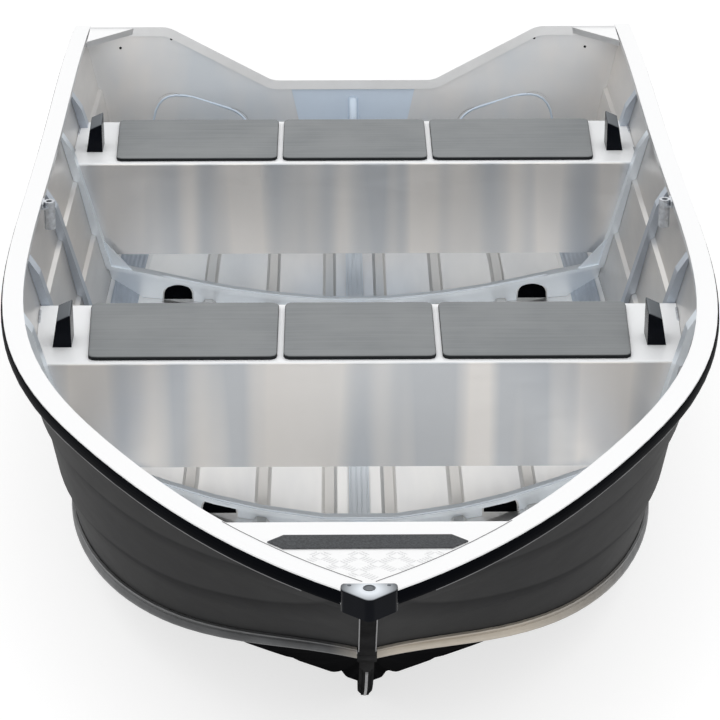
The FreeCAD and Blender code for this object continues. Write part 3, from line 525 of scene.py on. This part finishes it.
def alongPath(points, lift=upwards):
    path = []
    for i, place in enumerate(points):
        ahead = (points[min(i + 1, len(points) - 1)] - points[max(i - 1, 0)]).normalized()
        aside = ahead.cross(lift).normalized()
        path.append((place, aside, aside.cross(ahead).normalized()))
    return path


def circle(radius, steps):
    turns = [math.tau * k / steps for k in range(steps)]
    return [(radius * math.cos(turn), radius * math.sin(turn)) for turn in turns]


# Seat pads: thin firm foam with a rounded rim and a slight crown
padShape = {
    "edgePoints": 120,
    "rim": (  # how far in and how high, from the foot up
        (0.0008, 0.0), (0.0, 0.0012), (0.0, 0.0052), (0.0006, 0.0072), (0.0018, 0.0085), (0.0034, 0.0090),
    ),
    "crown": 0.0012,
    "crownRings": (0.02, 0.06, 0.14, 0.28, 0.48, 0.72),
    "fill": 0.95,
}


def outlineOf(name):  # corner points of the node's top face, in order
    bm = bmesh.new()
    bm.from_mesh(nodes[name].data)
    bm.faces.ensure_lookup_table()
    tops = {face for face in bm.faces if face.normal.z > 0.99}
    following = {}  # from each corner to the next one, and its place
    for face in tops:
        for loop in face.loops:
            if not any(other in tops for other in loop.edge.link_faces if other is not face):
                following[loop.vert.index] = (loop.link_loop_next.vert.index, loop.vert.co.copy())
    start = min(following)
    points, at = [], start
    while True:
        at, place = following[at]
        points.append(place)
        if at == start:
            break
    bm.free()
    return points


def evenly(points, count):  # even steps round a closed outline
    lengths = [(points[(i + 1) % len(points)] - p).length for i, p in enumerate(points)]
    total, places, i, gone = sum(lengths), [], 0, 0.0
    for step in range(count):
        want = total * step / count
        while gone + lengths[i] < want:
            gone += lengths[i]
            i += 1
        places.append(points[i].lerp(points[(i + 1) % len(points)], (want - gone) / lengths[i]))
    return places


def makePad(name, look):
    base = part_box(name)[0][2]
    outline = evenly(outlineOf(name), look["edgePoints"])
    centre = sum(outline, Vector()) / len(outline)
    count = len(outline)
    inward = []
    for i, p in enumerate(outline):
        ahead = outline[(i + 1) % count] - outline[i - 1]
        side = Vector((-ahead.y, ahead.x, 0.0)).normalized()
        inward.append(side if side.dot(centre - p) > 0 else -side)
    bm = bmesh.new()
    rings = []
    for inset, height in look["rim"]:
        ring = [Vector((p.x, p.y, base + height)) + n * inset for p, n in zip(outline, inward)]
        rings.append([bm.verts.new(place) for place in ring])
    inset, height = look["rim"][-1]
    for share in look["crownRings"]:
        rise = look["crown"] * (1 - (1 - share) ** 3)
        ring = []
        for p, n in zip(outline, inward):
            place = (Vector((p.x, p.y, 0.0)) + n * inset).lerp(Vector((centre.x, centre.y, 0.0)), share)
            ring.append(bm.verts.new((place.x, place.y, base + height + rise)))
        rings.append(ring)
    middle = bm.verts.new((centre.x, centre.y, base + height + look["crown"]))
    for first, second in zip(rings, rings[1:]):
        bridge(bm, first, second)
    for i in range(count):
        bm.faces.new((rings[-1][i], rings[-1][(i + 1) % count], middle))
    bm.faces.new(rings[0][::-1])
    piece = addPiece(name.replace("seat_pad", "foamPad"), bm, padFoam)
    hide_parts(name)


for name in [n for n in nodes if n.startswith("seat_pad")]:
    makePad(name, padShape)
print("seat pads made")

# Raised pattern on the foredeck: groups of bars, turned left and right in turn
tread = {
    "pitch": 0.042,
    "closer": 1.42,  # the groups stand closer than the pitch by this
    "bars": 5,
    "barLength": 0.017,
    "barWidth": 0.0032,
    "barHeight": 0.0010,
    "barGap": 0.0058,
    "profile": ((1.0, 0.0), (0.82, 0.6), (0.45, 0.95)),  # shares of the bar's outline and height
    "lean": 45.0,
    "around": 12,
    "edge": 0.007,  # a bar needs flat deck this far round its middle
    "plainBand": 0.014,
    "nearEnd": 0.004,  # the deck's slope is measured within this of its ends
    "offPlane": 0.003,
}


def deckPlane(look):  # height of the deck's top along Y, from the deck's own mesh
    points = [v.co for v in nodes["foredeck"].data.vertices]
    aft = max(p.y for p in points)
    front = min(p.y for p in points)
    high = max(p.z for p in points if p.y > aft - look["nearEnd"])
    top = max(p.z for p in points if p.y < front + look["nearEnd"])
    return lambda y: high + (aft - y) / (aft - front) * (top - high)


deckTop = deckPlane(tread)
deckLow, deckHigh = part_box("foredeck")
gripLow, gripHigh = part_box("deck_grip")
deckSurface = surfaceOf("foredeck")


def onDeck(x, y, look):  # flat deck all round a place
    edge = look["edge"]
    for dx, dy in ((edge, 0), (-edge, 0), (0, edge), (0, -edge)):
        place = seenFrom(deckSurface, (x + dx, y + dy, overhead), downwards)
        if place is None or abs(place.z - deckTop(y + dy)) > look["offPlane"]:
            return False
    return True


def treadBar(bm, centre, run, side, look):
    rings = []
    for part, height in look["profile"]:
        ring = []
        for a, b in circle(part / 2, look["around"]):
            place = centre + run * a * look["barLength"] + side * b * look["barWidth"]
            ring.append((place.x, place.y, deckTop(place.y) + height * look["barHeight"]))
        rings.append(ring)
    loft(bm, rings)


def makeTread(look):
    bm = bmesh.new()
    step = look["pitch"] / look["closer"]
    across = int((deckHigh[0] - deckLow[0]) / look["pitch"]) + 2
    along = int((deckHigh[1] - deckLow[1]) / look["pitch"]) + 2
    plainFrom, plainTo = gripLow[1] - look["plainBand"], gripHigh[1] + look["plainBand"]
    for row in range(along):
        for column in range(-across, across + 1):
            turn = math.radians(look["lean"]) * (1 if (row + column) % 2 else -1)
            middle = Vector((column * step, deckLow[1] + row * step, 0))
            run = Vector((math.cos(turn), math.sin(turn), 0))
            side = Vector((-run.y, run.x, 0))
            for bar in range(look["bars"]):
                centre = middle + side * (bar - (look["bars"] - 1) / 2) * look["barGap"]
                beside = abs(centre.x) < gripHigh[0] + look["plainBand"]
                if plainFrom < centre.y < plainTo and beside or centre.y > gripHigh[1]:
                    continue
                if onDeck(centre.x, centre.y, look):
                    treadBar(bm, centre, run, side, look)
    addPiece("deckTread", bm, treadMetal)


makeTread(tread)
print("deck pattern made")

# Plug and screws on the bow cap
capDetail = {  # radii and heights run from the foot up and inwards
    "plugRadii": (0.0095, 0.0095, 0.00878, 0.0077, 0.0077, 0.0038),
    "plugHeights": (0.0, 0.00084, 0.0012, 0.0012, 0.00036, 0.00054),
    "plugForward": 0.0175,
    "plugAround": 32,
    "screwRadii": (0.0032, 0.00256, 0.00096),
    "screwHeights": (0.0, 0.00072, 0.00096),
    "screwForward": 0.0085,
    "screwAside": 0.030,
    "screwAround": 16,
    "sink": 0.0002,
}


def disc(bm, x, y, z, radii, heights, around):
    rings = []
    for radius, height in zip(radii, heights):
        rings.append([(x + a, y + b, z + height) for a, b in circle(radius, around)])
    loft(bm, rings)


def makeCapPlug(look):
    bm = bmesh.new()
    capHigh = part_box("bow_cap")[1]
    foot = capHigh[2] - look["sink"]
    disc(bm, 0.0, capHigh[1] - look["plugForward"], foot,
         look["plugRadii"], look["plugHeights"], look["plugAround"])
    for side in (-1, 1):
        disc(bm, side * look["screwAside"], capHigh[1] - look["screwForward"], foot,
             look["screwRadii"], look["screwHeights"], look["screwAround"])
    addPiece("bowCapPlug", bm, plastic)


makeCapPlug(capDetail)
print("bow cap plug made")

# Grooved strip inside the chine
chineStrip = {
    "width": 0.056,
    "height": 0.0022,
    "grooves": 6,
    "groove": 0.0011,
    "stations": 48,
    "ends": (-0.93, 1.50),
    "clear": 0.010,  # from the floor's outer edge
    "scan": (0.05, 0.75),
    "fullWidthFrom": 0.45,  # narrower where the floor is narrower than this
    "foot": 0.0002,
}
sideSurface = {1: surfaceOf("side_port"), -1: surfaceOf("side_starboard")}
floorSurface = surfaceOf("bottom_sheet")


def floorAt(x, y):
    return hitFrom(floorSurface, (x, y, overhead), downwards)


def wallAt(side, y, z):
    return hitFrom(sideSurface[side], (0.0, y, z), (side, 0, 0)).x


def chineSection(side, y, look):  # grooved top, then the two corners of the foot
    def onFloor(x):
        return seenFrom(floorSurface, (side * x, y, overhead), downwards)

    edge = side * (lastWhere(onFloor, *look["scan"]) - look["clear"])
    width = side * look["width"] * min(1.0, abs(edge) / look["fullWidthFrom"])
    cuts = look["grooves"] * 2
    section = []
    for cut in range(cuts + 1):
        drop = look["groove"] if cut % 2 else 0.0
        section.append(floorAt(edge - width * cut / cuts, y) + upwards * (look["height"] - drop))
    return section + [floorAt(p.x, y) + upwards * look["foot"] for p in (section[-1], section[0])]


def makeChineStrip(look):
    bm = bmesh.new()
    for side in (-1, 1):
        loft(bm, [chineSection(side, y, look) for y in spread(look["ends"], look["stations"])])
    addPiece("chineStrip", bm, ribMetal, smooth=False)


makeChineStrip(chineStrip)

# Ridges along the keelson
keelsonRidges = {
    "places": (-0.0165, -0.0055, 0.0055, 0.0165),
    "section": (
        (-0.0017, -0.0003), (-0.00119, 0.00098), (0.0, 0.0014), (0.00119, 0.00098), (0.0017, -0.0003),
    ),
    "step": 0.04,
    "front": 0.004,
    "back": 0.046,
}


def makeKeelsonRidges(look):
    bm = bmesh.new()
    surface = surfaceOf("keelson")
    low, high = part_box("keelson")
    count = int((high[1] - low[1]) / look["step"])
    for x in look["places"]:
        run = spread((low[1] + look["front"], high[1] - look["back"]), count)
        sweep(bm, alongPath([hitFrom(surface, (x, y, overhead), downwards) for y in run]), look["section"])
    addPiece("keelsonRidges", bm, frameMetal)


makeKeelsonRidges(keelsonRidges)
print("strip and ridges made")

# Ridges along the frames' flanges
flangeRidges = {
    "insets": (0.006, 0.0145),
    "section": ((-0.0015, -0.0003), (-0.0009, 0.0012), (0.0009, 0.0012), (0.0015, -0.0003)),
    "ends": (-0.46, 0.46),
    "steps": 60,
}


def makeFlangeRidges(name, look):
    bm = bmesh.new()
    surface = surfaceOf(name)
    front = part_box(name)[0][1]
    for inset in look["insets"]:
        run = spread(look["ends"], look["steps"])
        points = [seenFrom(surface, (x, front + inset, overhead), downwards) for x in run]
        sweep(bm, alongPath([place for place in points if place is not None]), look["section"])
    addPiece(name.replace("frame_", "flangeRidge_"), bm, frameMetal)


makeFlangeRidges("frame_forward", flangeRidges)
makeFlangeRidges("frame_aft", flangeRidges)
print("flange ridges made")

# Weld beads where the thwarts meet the sides, laid in ripples
weld = {
    "radius": 0.0024,
    "pitch": 0.0028,
    "ripple": 0.22,
    "around": 8,
    "taper": 3,
    "endShare": 0.15,
    "topRuns": ((0.03, 0.10), (0.20, 0.27)),  # from the thwart's front edge
    "frontRuns": ((0.055, 0.100), (0.135, 0.180), (0.195, 0.240)),  # down from its top
    "above": 0.004,  # the wall is measured this far above the thwart and ahead of it
    "ahead": 0.002,
    "lift": 0.0005,  # the beads lie this far above it and ahead of it
    "proud": 0.0002,
    "inboard": 0.0022,
    "samples": 8,
    "lapReach": 0.004,
    "lapStep": 0.0025,  # a step in the wall above this is a lap, and has no bead
}


def beadAlong(bm, start, end, look):
    ahead = (end - start).normalized()
    up = upwards if abs(ahead.z) < 0.9 else Vector((0.0, -1.0, 0.0))
    aside = ahead.cross(up).normalized()
    up = aside.cross(ahead)
    steps = max(4, int((end - start).length / look["pitch"]) * 2)
    rings = []
    for i in range(steps + 1):
        share = i / steps
        full = min(1.0, share * steps / look["taper"], (1 - share) * steps / look["taper"])
        fade = full * (1 - look["endShare"]) + look["endShare"]
        radius = look["radius"] * fade * (1 + look["ripple"] * (1 if i % 2 else -1))
        place = start.lerp(end, share)
        rings.append([place + aside * a + up * b for a, b in circle(radius, look["around"])])
    loft(bm, rings)


def evenWall(side, start, end, look):  # no lap of the side between two places (y, z)
    samples = [Vector(start).lerp(Vector(end), share) for share in spread((0.0, 1.0), look["samples"])]
    rises = (-look["lapReach"], look["lapReach"])
    reach = [abs(wallAt(side, y, z + rise)) for y, z in samples for rise in rises]
    usual = (reach[0] + reach[1] + reach[-2] + reach[-1]) / 4
    return max(abs(value - usual) for value in reach[6:-6]) < look["lapStep"]


def makeThwartWelds(name, look):
    bm = bmesh.new()
    low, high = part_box(name)
    above, ahead = high[2] + look["above"], low[1] - look["ahead"]
    runs = []  # both ends (y, z) where the wall is measured, and the bead's place from there
    for first, last in look["topRuns"]:
        runs.append(((low[1] + first, above), (low[1] + last, above), (0.0, look["lift"] - look["above"])))
    for first, last in look["frontRuns"]:
        runs.append(((ahead, high[2] - first), (ahead, high[2] - last), (look["ahead"] - look["proud"], 0.0)))
    for side in (-1, 1):
        for start, end, (back, rise) in runs:
            if evenWall(side, start, end, look):
                ends = [Vector((wallAt(side, y, z) - side * look["inboard"], y + back, z + rise))
                        for y, z in (start, end)]
                beadAlong(bm, *ends, look)
    addPiece(name.replace("thwart_", "thwartWeld_"), bm, weldMetal)


makeThwartWelds("thwart_forward", weld)
makeThwartWelds("thwart_aft", weld)
print("welds made")

# Thin lip of the gunwale extrusion that shows below the rubber
lip = {
    "ends": (-1.50, 1.60),
    "stations": 77,
    "width": 0.007,
    "thick": 0.0016,
    "top": 0.0004,
    "aside": 1.0,
    "heights": (0.62, 0.36),  # the rubber lies between these
    "scan": 0.0015,
}


def fenderFoot(surface, side, y, look):  # lowest outer edge of the rubber at a station
    lowest = None
    height, end = look["heights"]
    while height > end:
        place = seenFrom(surface, (side * look["aside"], y, height), (-side, 0, 0))
        if place is not None:
            lowest = place
        elif lowest is not None:
            break
        height -= look["scan"]
    return lowest


def makeLip(look):
    bm = bmesh.new()
    width, top, foot = look["width"], look["top"], -look["thick"]
    section = ((0.0, top), (width, top), (width, foot), (0.0, foot))
    for name, side in (("port", 1), ("starboard", -1)):
        surface = surfaceOf("fender_" + name)
        points = [fenderFoot(surface, side, y, look) for y in spread(look["ends"], look["stations"])]
        points = [place for place in points if place is not None]
        path = [(place, aside if aside.x * side < 0 else -aside, upwards)
                for place, aside, _ in alongPath(points)]
        sweep(bm, path, section)
    addPiece("gunwaleLip", bm, trimMetal, smooth=False)


makeLip(lip)
print("gunwale lip made")

# Transom: rims of the two pressed panels, half-round bead on the pad plate, small rivets
transomDetail = {
    "startY": 1.2,  # rays onto the inner face start ahead of it, aft of the thwart
    "panel": ((0.512, 0.066), (0.512, 0.301), (0.264, 0.228), (0.264, 0.066)),
    "corner": 0.08,
    "cornerSteps": 8,
    "rimRadius": 0.0032,
    "rimSink": 0.3,  # share of the radius that its middle lies inside the sheet
    "rimAround": 10,
    "beadRadius": 0.0125,
    "beadEnds": (0.108, 0.274),
    "beadAside": 0.03,
    "beadAround": 24,
    "beadProfile": (  # shares of its length and radius
        (0.0, 0.3), (0.008, 0.7), (0.03, 1.0), (0.5, 1.0), (0.97, 1.0), (0.992, 0.7), (1.0, 0.3),
    ),
    "rivets": ((0.593, 0.395), (0.463, 0.417)),
    "rivetRadius": 0.0035,
    "rivetFlat": 0.4,
    "rivetSteps": (12, 8),
}
transomSurface = surfaceOf("transom_sheet")


def onTransom(x, z, surface, look):
    return hitFrom(surface, (x, look["startY"], z), (0, 1, 0))


def roundedPath(corners, radius, steps):  # an open line with arcs at its inner corners
    path = [Vector(corners[0])]
    for i in range(1, len(corners) - 1):
        point = Vector(corners[i])
        back = (Vector(corners[i - 1]) - point).normalized()
        ahead = (Vector(corners[i + 1]) - point).normalized()
        reach = radius / math.tan(back.angle(ahead) / 2)
        first, last = point + back * reach, point + ahead * reach
        for share in spread((0.0, 1.0), steps):
            path.append(first.lerp(point, share).lerp(point.lerp(last, share), share))
    return path + [Vector(corners[-1])]


def tube(bm, points, radius, around):
    sweep(bm, alongPath(points, Vector((0.0, -1.0, 0.0))), circle(radius, around))


def makeTransomRims(look):
    bm = bmesh.new()
    outline = roundedPath(look["panel"], look["corner"], look["cornerSteps"])
    sink = Vector((0.0, look["rimRadius"] * look["rimSink"], 0.0))
    for side in (-1, 1):
        points = [onTransom(x * side, z, transomSurface, look) + sink for x, z in outline]
        tube(bm, points, look["rimRadius"], look["rimAround"])
    addPiece("transomRims", bm, padPlate)


def makePadBead(look):
    bm = bmesh.new()
    surface = surfaceOf("motor_pad_inner")
    low, high = look["beadEnds"]
    rings = []
    for share, part in look["beadProfile"]:
        place = onTransom(look["beadAside"], low + (high - low) * share, surface, look)
        place.x = 0.0
        outline = circle(look["beadRadius"] * part, look["beadAround"])
        rings.append([place + Vector((a, b, 0.0)) for a, b in outline])
    loft(bm, rings)
    addPiece("padBead", bm, padPlate)


def makeTransomRivets(look):
    bm = bmesh.new()
    around, rows = look["rivetSteps"]
    radius = look["rivetRadius"]
    for side in (-1, 1):
        for x, z in look["rivets"]:
            place = onTransom(x * side, z, transomSurface, look)
            ball = bmesh.ops.create_uvsphere(bm, u_segments=around, v_segments=rows, radius=radius)
            for vert in ball["verts"]:
                vert.co = place + Vector((vert.co.x, vert.co.y * look["rivetFlat"], vert.co.z))
    addPiece("transomRivets", bm, plastic)


makeTransomRims(transomDetail)
makePadBead(transomDetail)
makeTransomRivets(transomDetail)
print("transom details made")

# Dark line along the inner edge of the gunwale where it laps over the deck
seam = {
    "halfWidth": 0.0007,
    "proud": 0.0004,
    "from": -1.528,
    "onto": 0.0025,
    "scan": 0.0005,
    "widest": 0.7,
    "steps": 24,
    "above": 1.0,
}


def seamPlace(surface, side, y, look):  # just outside the inner edge of the gunwale's top
    x = 0.0
    while x < look["widest"] and seenFrom(surface, (side * x, y, look["above"]), downwards) is None:
        x += look["scan"]
    return hitFrom(surface, (side * (x + look["onto"]), y, look["above"]), downwards)


def makeSeam(look):
    bm = bmesh.new()
    run = spread((look["from"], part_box("foredeck")[1][1]), look["steps"])
    half, proud = look["halfWidth"], look["proud"]
    section = ((-half, -proud), (-half, proud), (half, proud), (half, -proud))
    for name, side in (("port", 1), ("starboard", -1)):
        surface = surfaceOf("gunwale_" + name)
        sweep(bm, alongPath([seamPlace(surface, side, y, look) for y in run]), section)
    addPiece("deckSeam", bm, trimMetal, smooth=False)


makeSeam(seam)
print("deck seam made")

# Black rubber sheets just behind the drain holes of the frames: painted shade in the holes
drainHoleShadeSheets = {
    "middles": {"frame_forward": 0.285, "frame_aft": 0.425},
    "halfWidth": 0.034,
    "height": 0.036,
    "square": 0.6,  # 1 is a half ellipse, less has squarer shoulders
    "thick": 0.004,
    "behind": 0.0035,
    "lift": 0.004,
    "steps": 14,
}


def makeDrainHoleShade(look):
    bm = bmesh.new()
    for name, aside in look["middles"].items():
        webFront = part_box(name)[1][1] - look["behind"]
        for side in (-1, 1):
            middle = aside * side
            foot = floorAt(middle, webFront).z + look["lift"]
            outline = []
            for turn in spread((0.0, math.pi), look["steps"]):
                x = middle + look["halfWidth"] * math.cos(turn)
                outline.append((x, foot + look["height"] * math.sin(turn) ** look["square"]))
            loft(bm, [[(x, y, z) for x, z in outline] for y in (webFront, webFront + look["thick"])])
    addPiece("drainHoleShade", bm, rubber)


makeDrainHoleShade(drainHoleShadeSheets)

# Painted highlights: a paler strip down the keel at the bow, paler lines up the stem's edges
paintedBowHighlights = {
    "stripEnds": (-1.30, -0.90),
    "stripSteps": 30,
    "stripSection": ((-0.0028, -0.0010), (-0.00196, 0.0010), (0.00196, 0.0010), (0.0028, -0.0010)),
    "stripLift": (0.0, -0.3, -1.0),
    "below": -0.6,
    "arrisEnds": (0.325, 0.51),
    "arrisSteps": 16,
    "arrisRadius": 0.0011,
    "arrisAround": 8,
    "arrisAside": 0.0136,
    "ahead": -3.0,
}


def makePaintedBowHighlights(look):
    bm = bmesh.new()
    keelBar = surfaceOf("keel_bar")
    points = [seenFrom(keelBar, (0.0, y, look["below"]), upwards)
              for y in spread(look["stripEnds"], look["stripSteps"])]
    path = alongPath([place for place in points if place is not None], Vector(look["stripLift"]).normalized())
    sweep(bm, path, look["stripSection"])
    stemBar = surfaceOf("stem_bar")
    for side in (-1, 1):
        points = [seenFrom(stemBar, (side * look["arrisAside"], look["ahead"], z), (0, 1, 0))
                  for z in spread(look["arrisEnds"], look["arrisSteps"])]
        points = [place for place in points if place is not None]
        tube(bm, points, look["arrisRadius"], look["arrisAround"])
    addPiece("paintedBowHighlights", bm, trimMetal)


makePaintedBowHighlights(paintedBowHighlights)
print("plugs and bow trim made")

# Plain white floor at the waterline, plain light
studio = {
    "floor": 30.0,  # its reach round the boat
    "floorMiddle": 0.3,
    "steps": 48,
    "lap": 0.0012,  # the floor goes this far in under the skin
    "bowScan": (0.0, -1.4),
    "aside": 1.0,  # rays to the hull start here
    "tailAside": 0.3,
    "astern": 4.0,
    "floorColour": (0.45, 0.45, 0.45),
    "floorRoughness": 0.9,
    "floorGlow": 0.70,
    "light": 1.0,
    "keyPower": 14.0,
    "keyPlace": (-1.5, -1.0, 6.0),
    "keySize": 6.0,
}


def seenDirectly(tree):  # 1 for rays from the camera, mirrors and glass
    path = addNode(tree, "ShaderNodeLightPath")
    first = combine(tree, "MAXIMUM", path.outputs["Is Camera Ray"], path.outputs["Is Glossy Ray"])
    return combine(tree, "MAXIMUM", first, path.outputs["Is Transmission Ray"])


def waterEdge(look):  # where the hull's skin meets the water, round from the stern over the bow
    tail = hitFrom(surfaceOf("transom_sheet"), (look["tailAside"], look["astern"], 0.0), (0, -1, 0))
    tailY = tail.y - look["lap"]

    def inHull(y):
        return seenFrom(floorSurface, (look["aside"], y, 0.0), (-1, 0, 0))

    bowY = lastWhere(inHull, *look["bowScan"])
    edge = [(0.0, bowY)]
    for i in range(1, look["steps"] + 1):
        y = bowY + (tailY - bowY) * (i / look["steps"]) ** 2
        edge.append((max(0.0, hitFrom(floorSurface, (look["aside"], y, 0.0), (-1, 0, 0)).x - look["lap"]), y))
    return edge[::-1] + [(-x, y) for x, y in edge[1:]]


def makeFloor(look):
    mesh = bpy.data.meshes.new("waterFloor")
    bm = bmesh.new()
    inner = waterEdge(look)
    outer = []
    for x, y in inner:
        outer.append(bm.verts.new(Vector((x, y - look["floorMiddle"], 0.0)).normalized() * look["floor"]))
    bridge(bm, [bm.verts.new((x, y, 0.0)) for x, y in inner], outer)
    bmesh.ops.recalc_face_normals(bm, faces=bm.faces)
    bm.to_mesh(mesh)
    bm.free()
    return mesh


floorMesh = makeFloor(studio)
floor = bpy.data.objects.new("waterFloor", floorMesh)
scene.collection.objects.link(floor)
floorMaterial, tree, shader = newMaterial("paleFloor", studio["floorColour"], 0.0, studio["floorRoughness"])
shader.inputs["Specular IOR Level"].default_value = 0.0
shader.inputs["Emission Color"].default_value = (1.0, 1.0, 1.0, 1.0)
glow = combine(tree, "MULTIPLY", seenDirectly(tree), studio["floorGlow"])
tree.links.new(glow, shader.inputs["Emission Strength"])
floorMesh.materials.append(floorMaterial)

world = bpy.data.worlds.new("studio")
scene.world = world
world.use_nodes = True
tree = world.node_tree
tree.nodes.clear()
output = addNode(tree, "ShaderNodeOutputWorld")
light = addNode(tree, "ShaderNodeBackground")
light.inputs["Color"].default_value = (1.0, 1.0, 1.0, 1.0)
light.inputs["Strength"].default_value = studio["light"]
tree.links.new(light.outputs[0], output.inputs[0])

lampData = bpy.data.lights.new("softBox", "AREA")
lampData.energy = studio["keyPower"]
lampData.size = studio["keySize"]
lamp = bpy.data.objects.new("softBox", lampData)
lamp.location = studio["keyPlace"]
lamp.rotation_euler = (-Vector(studio["keyPlace"])).to_track_quat("-Z", "Y").to_euler()
scene.collection.objects.link(lamp)
print("studio made")
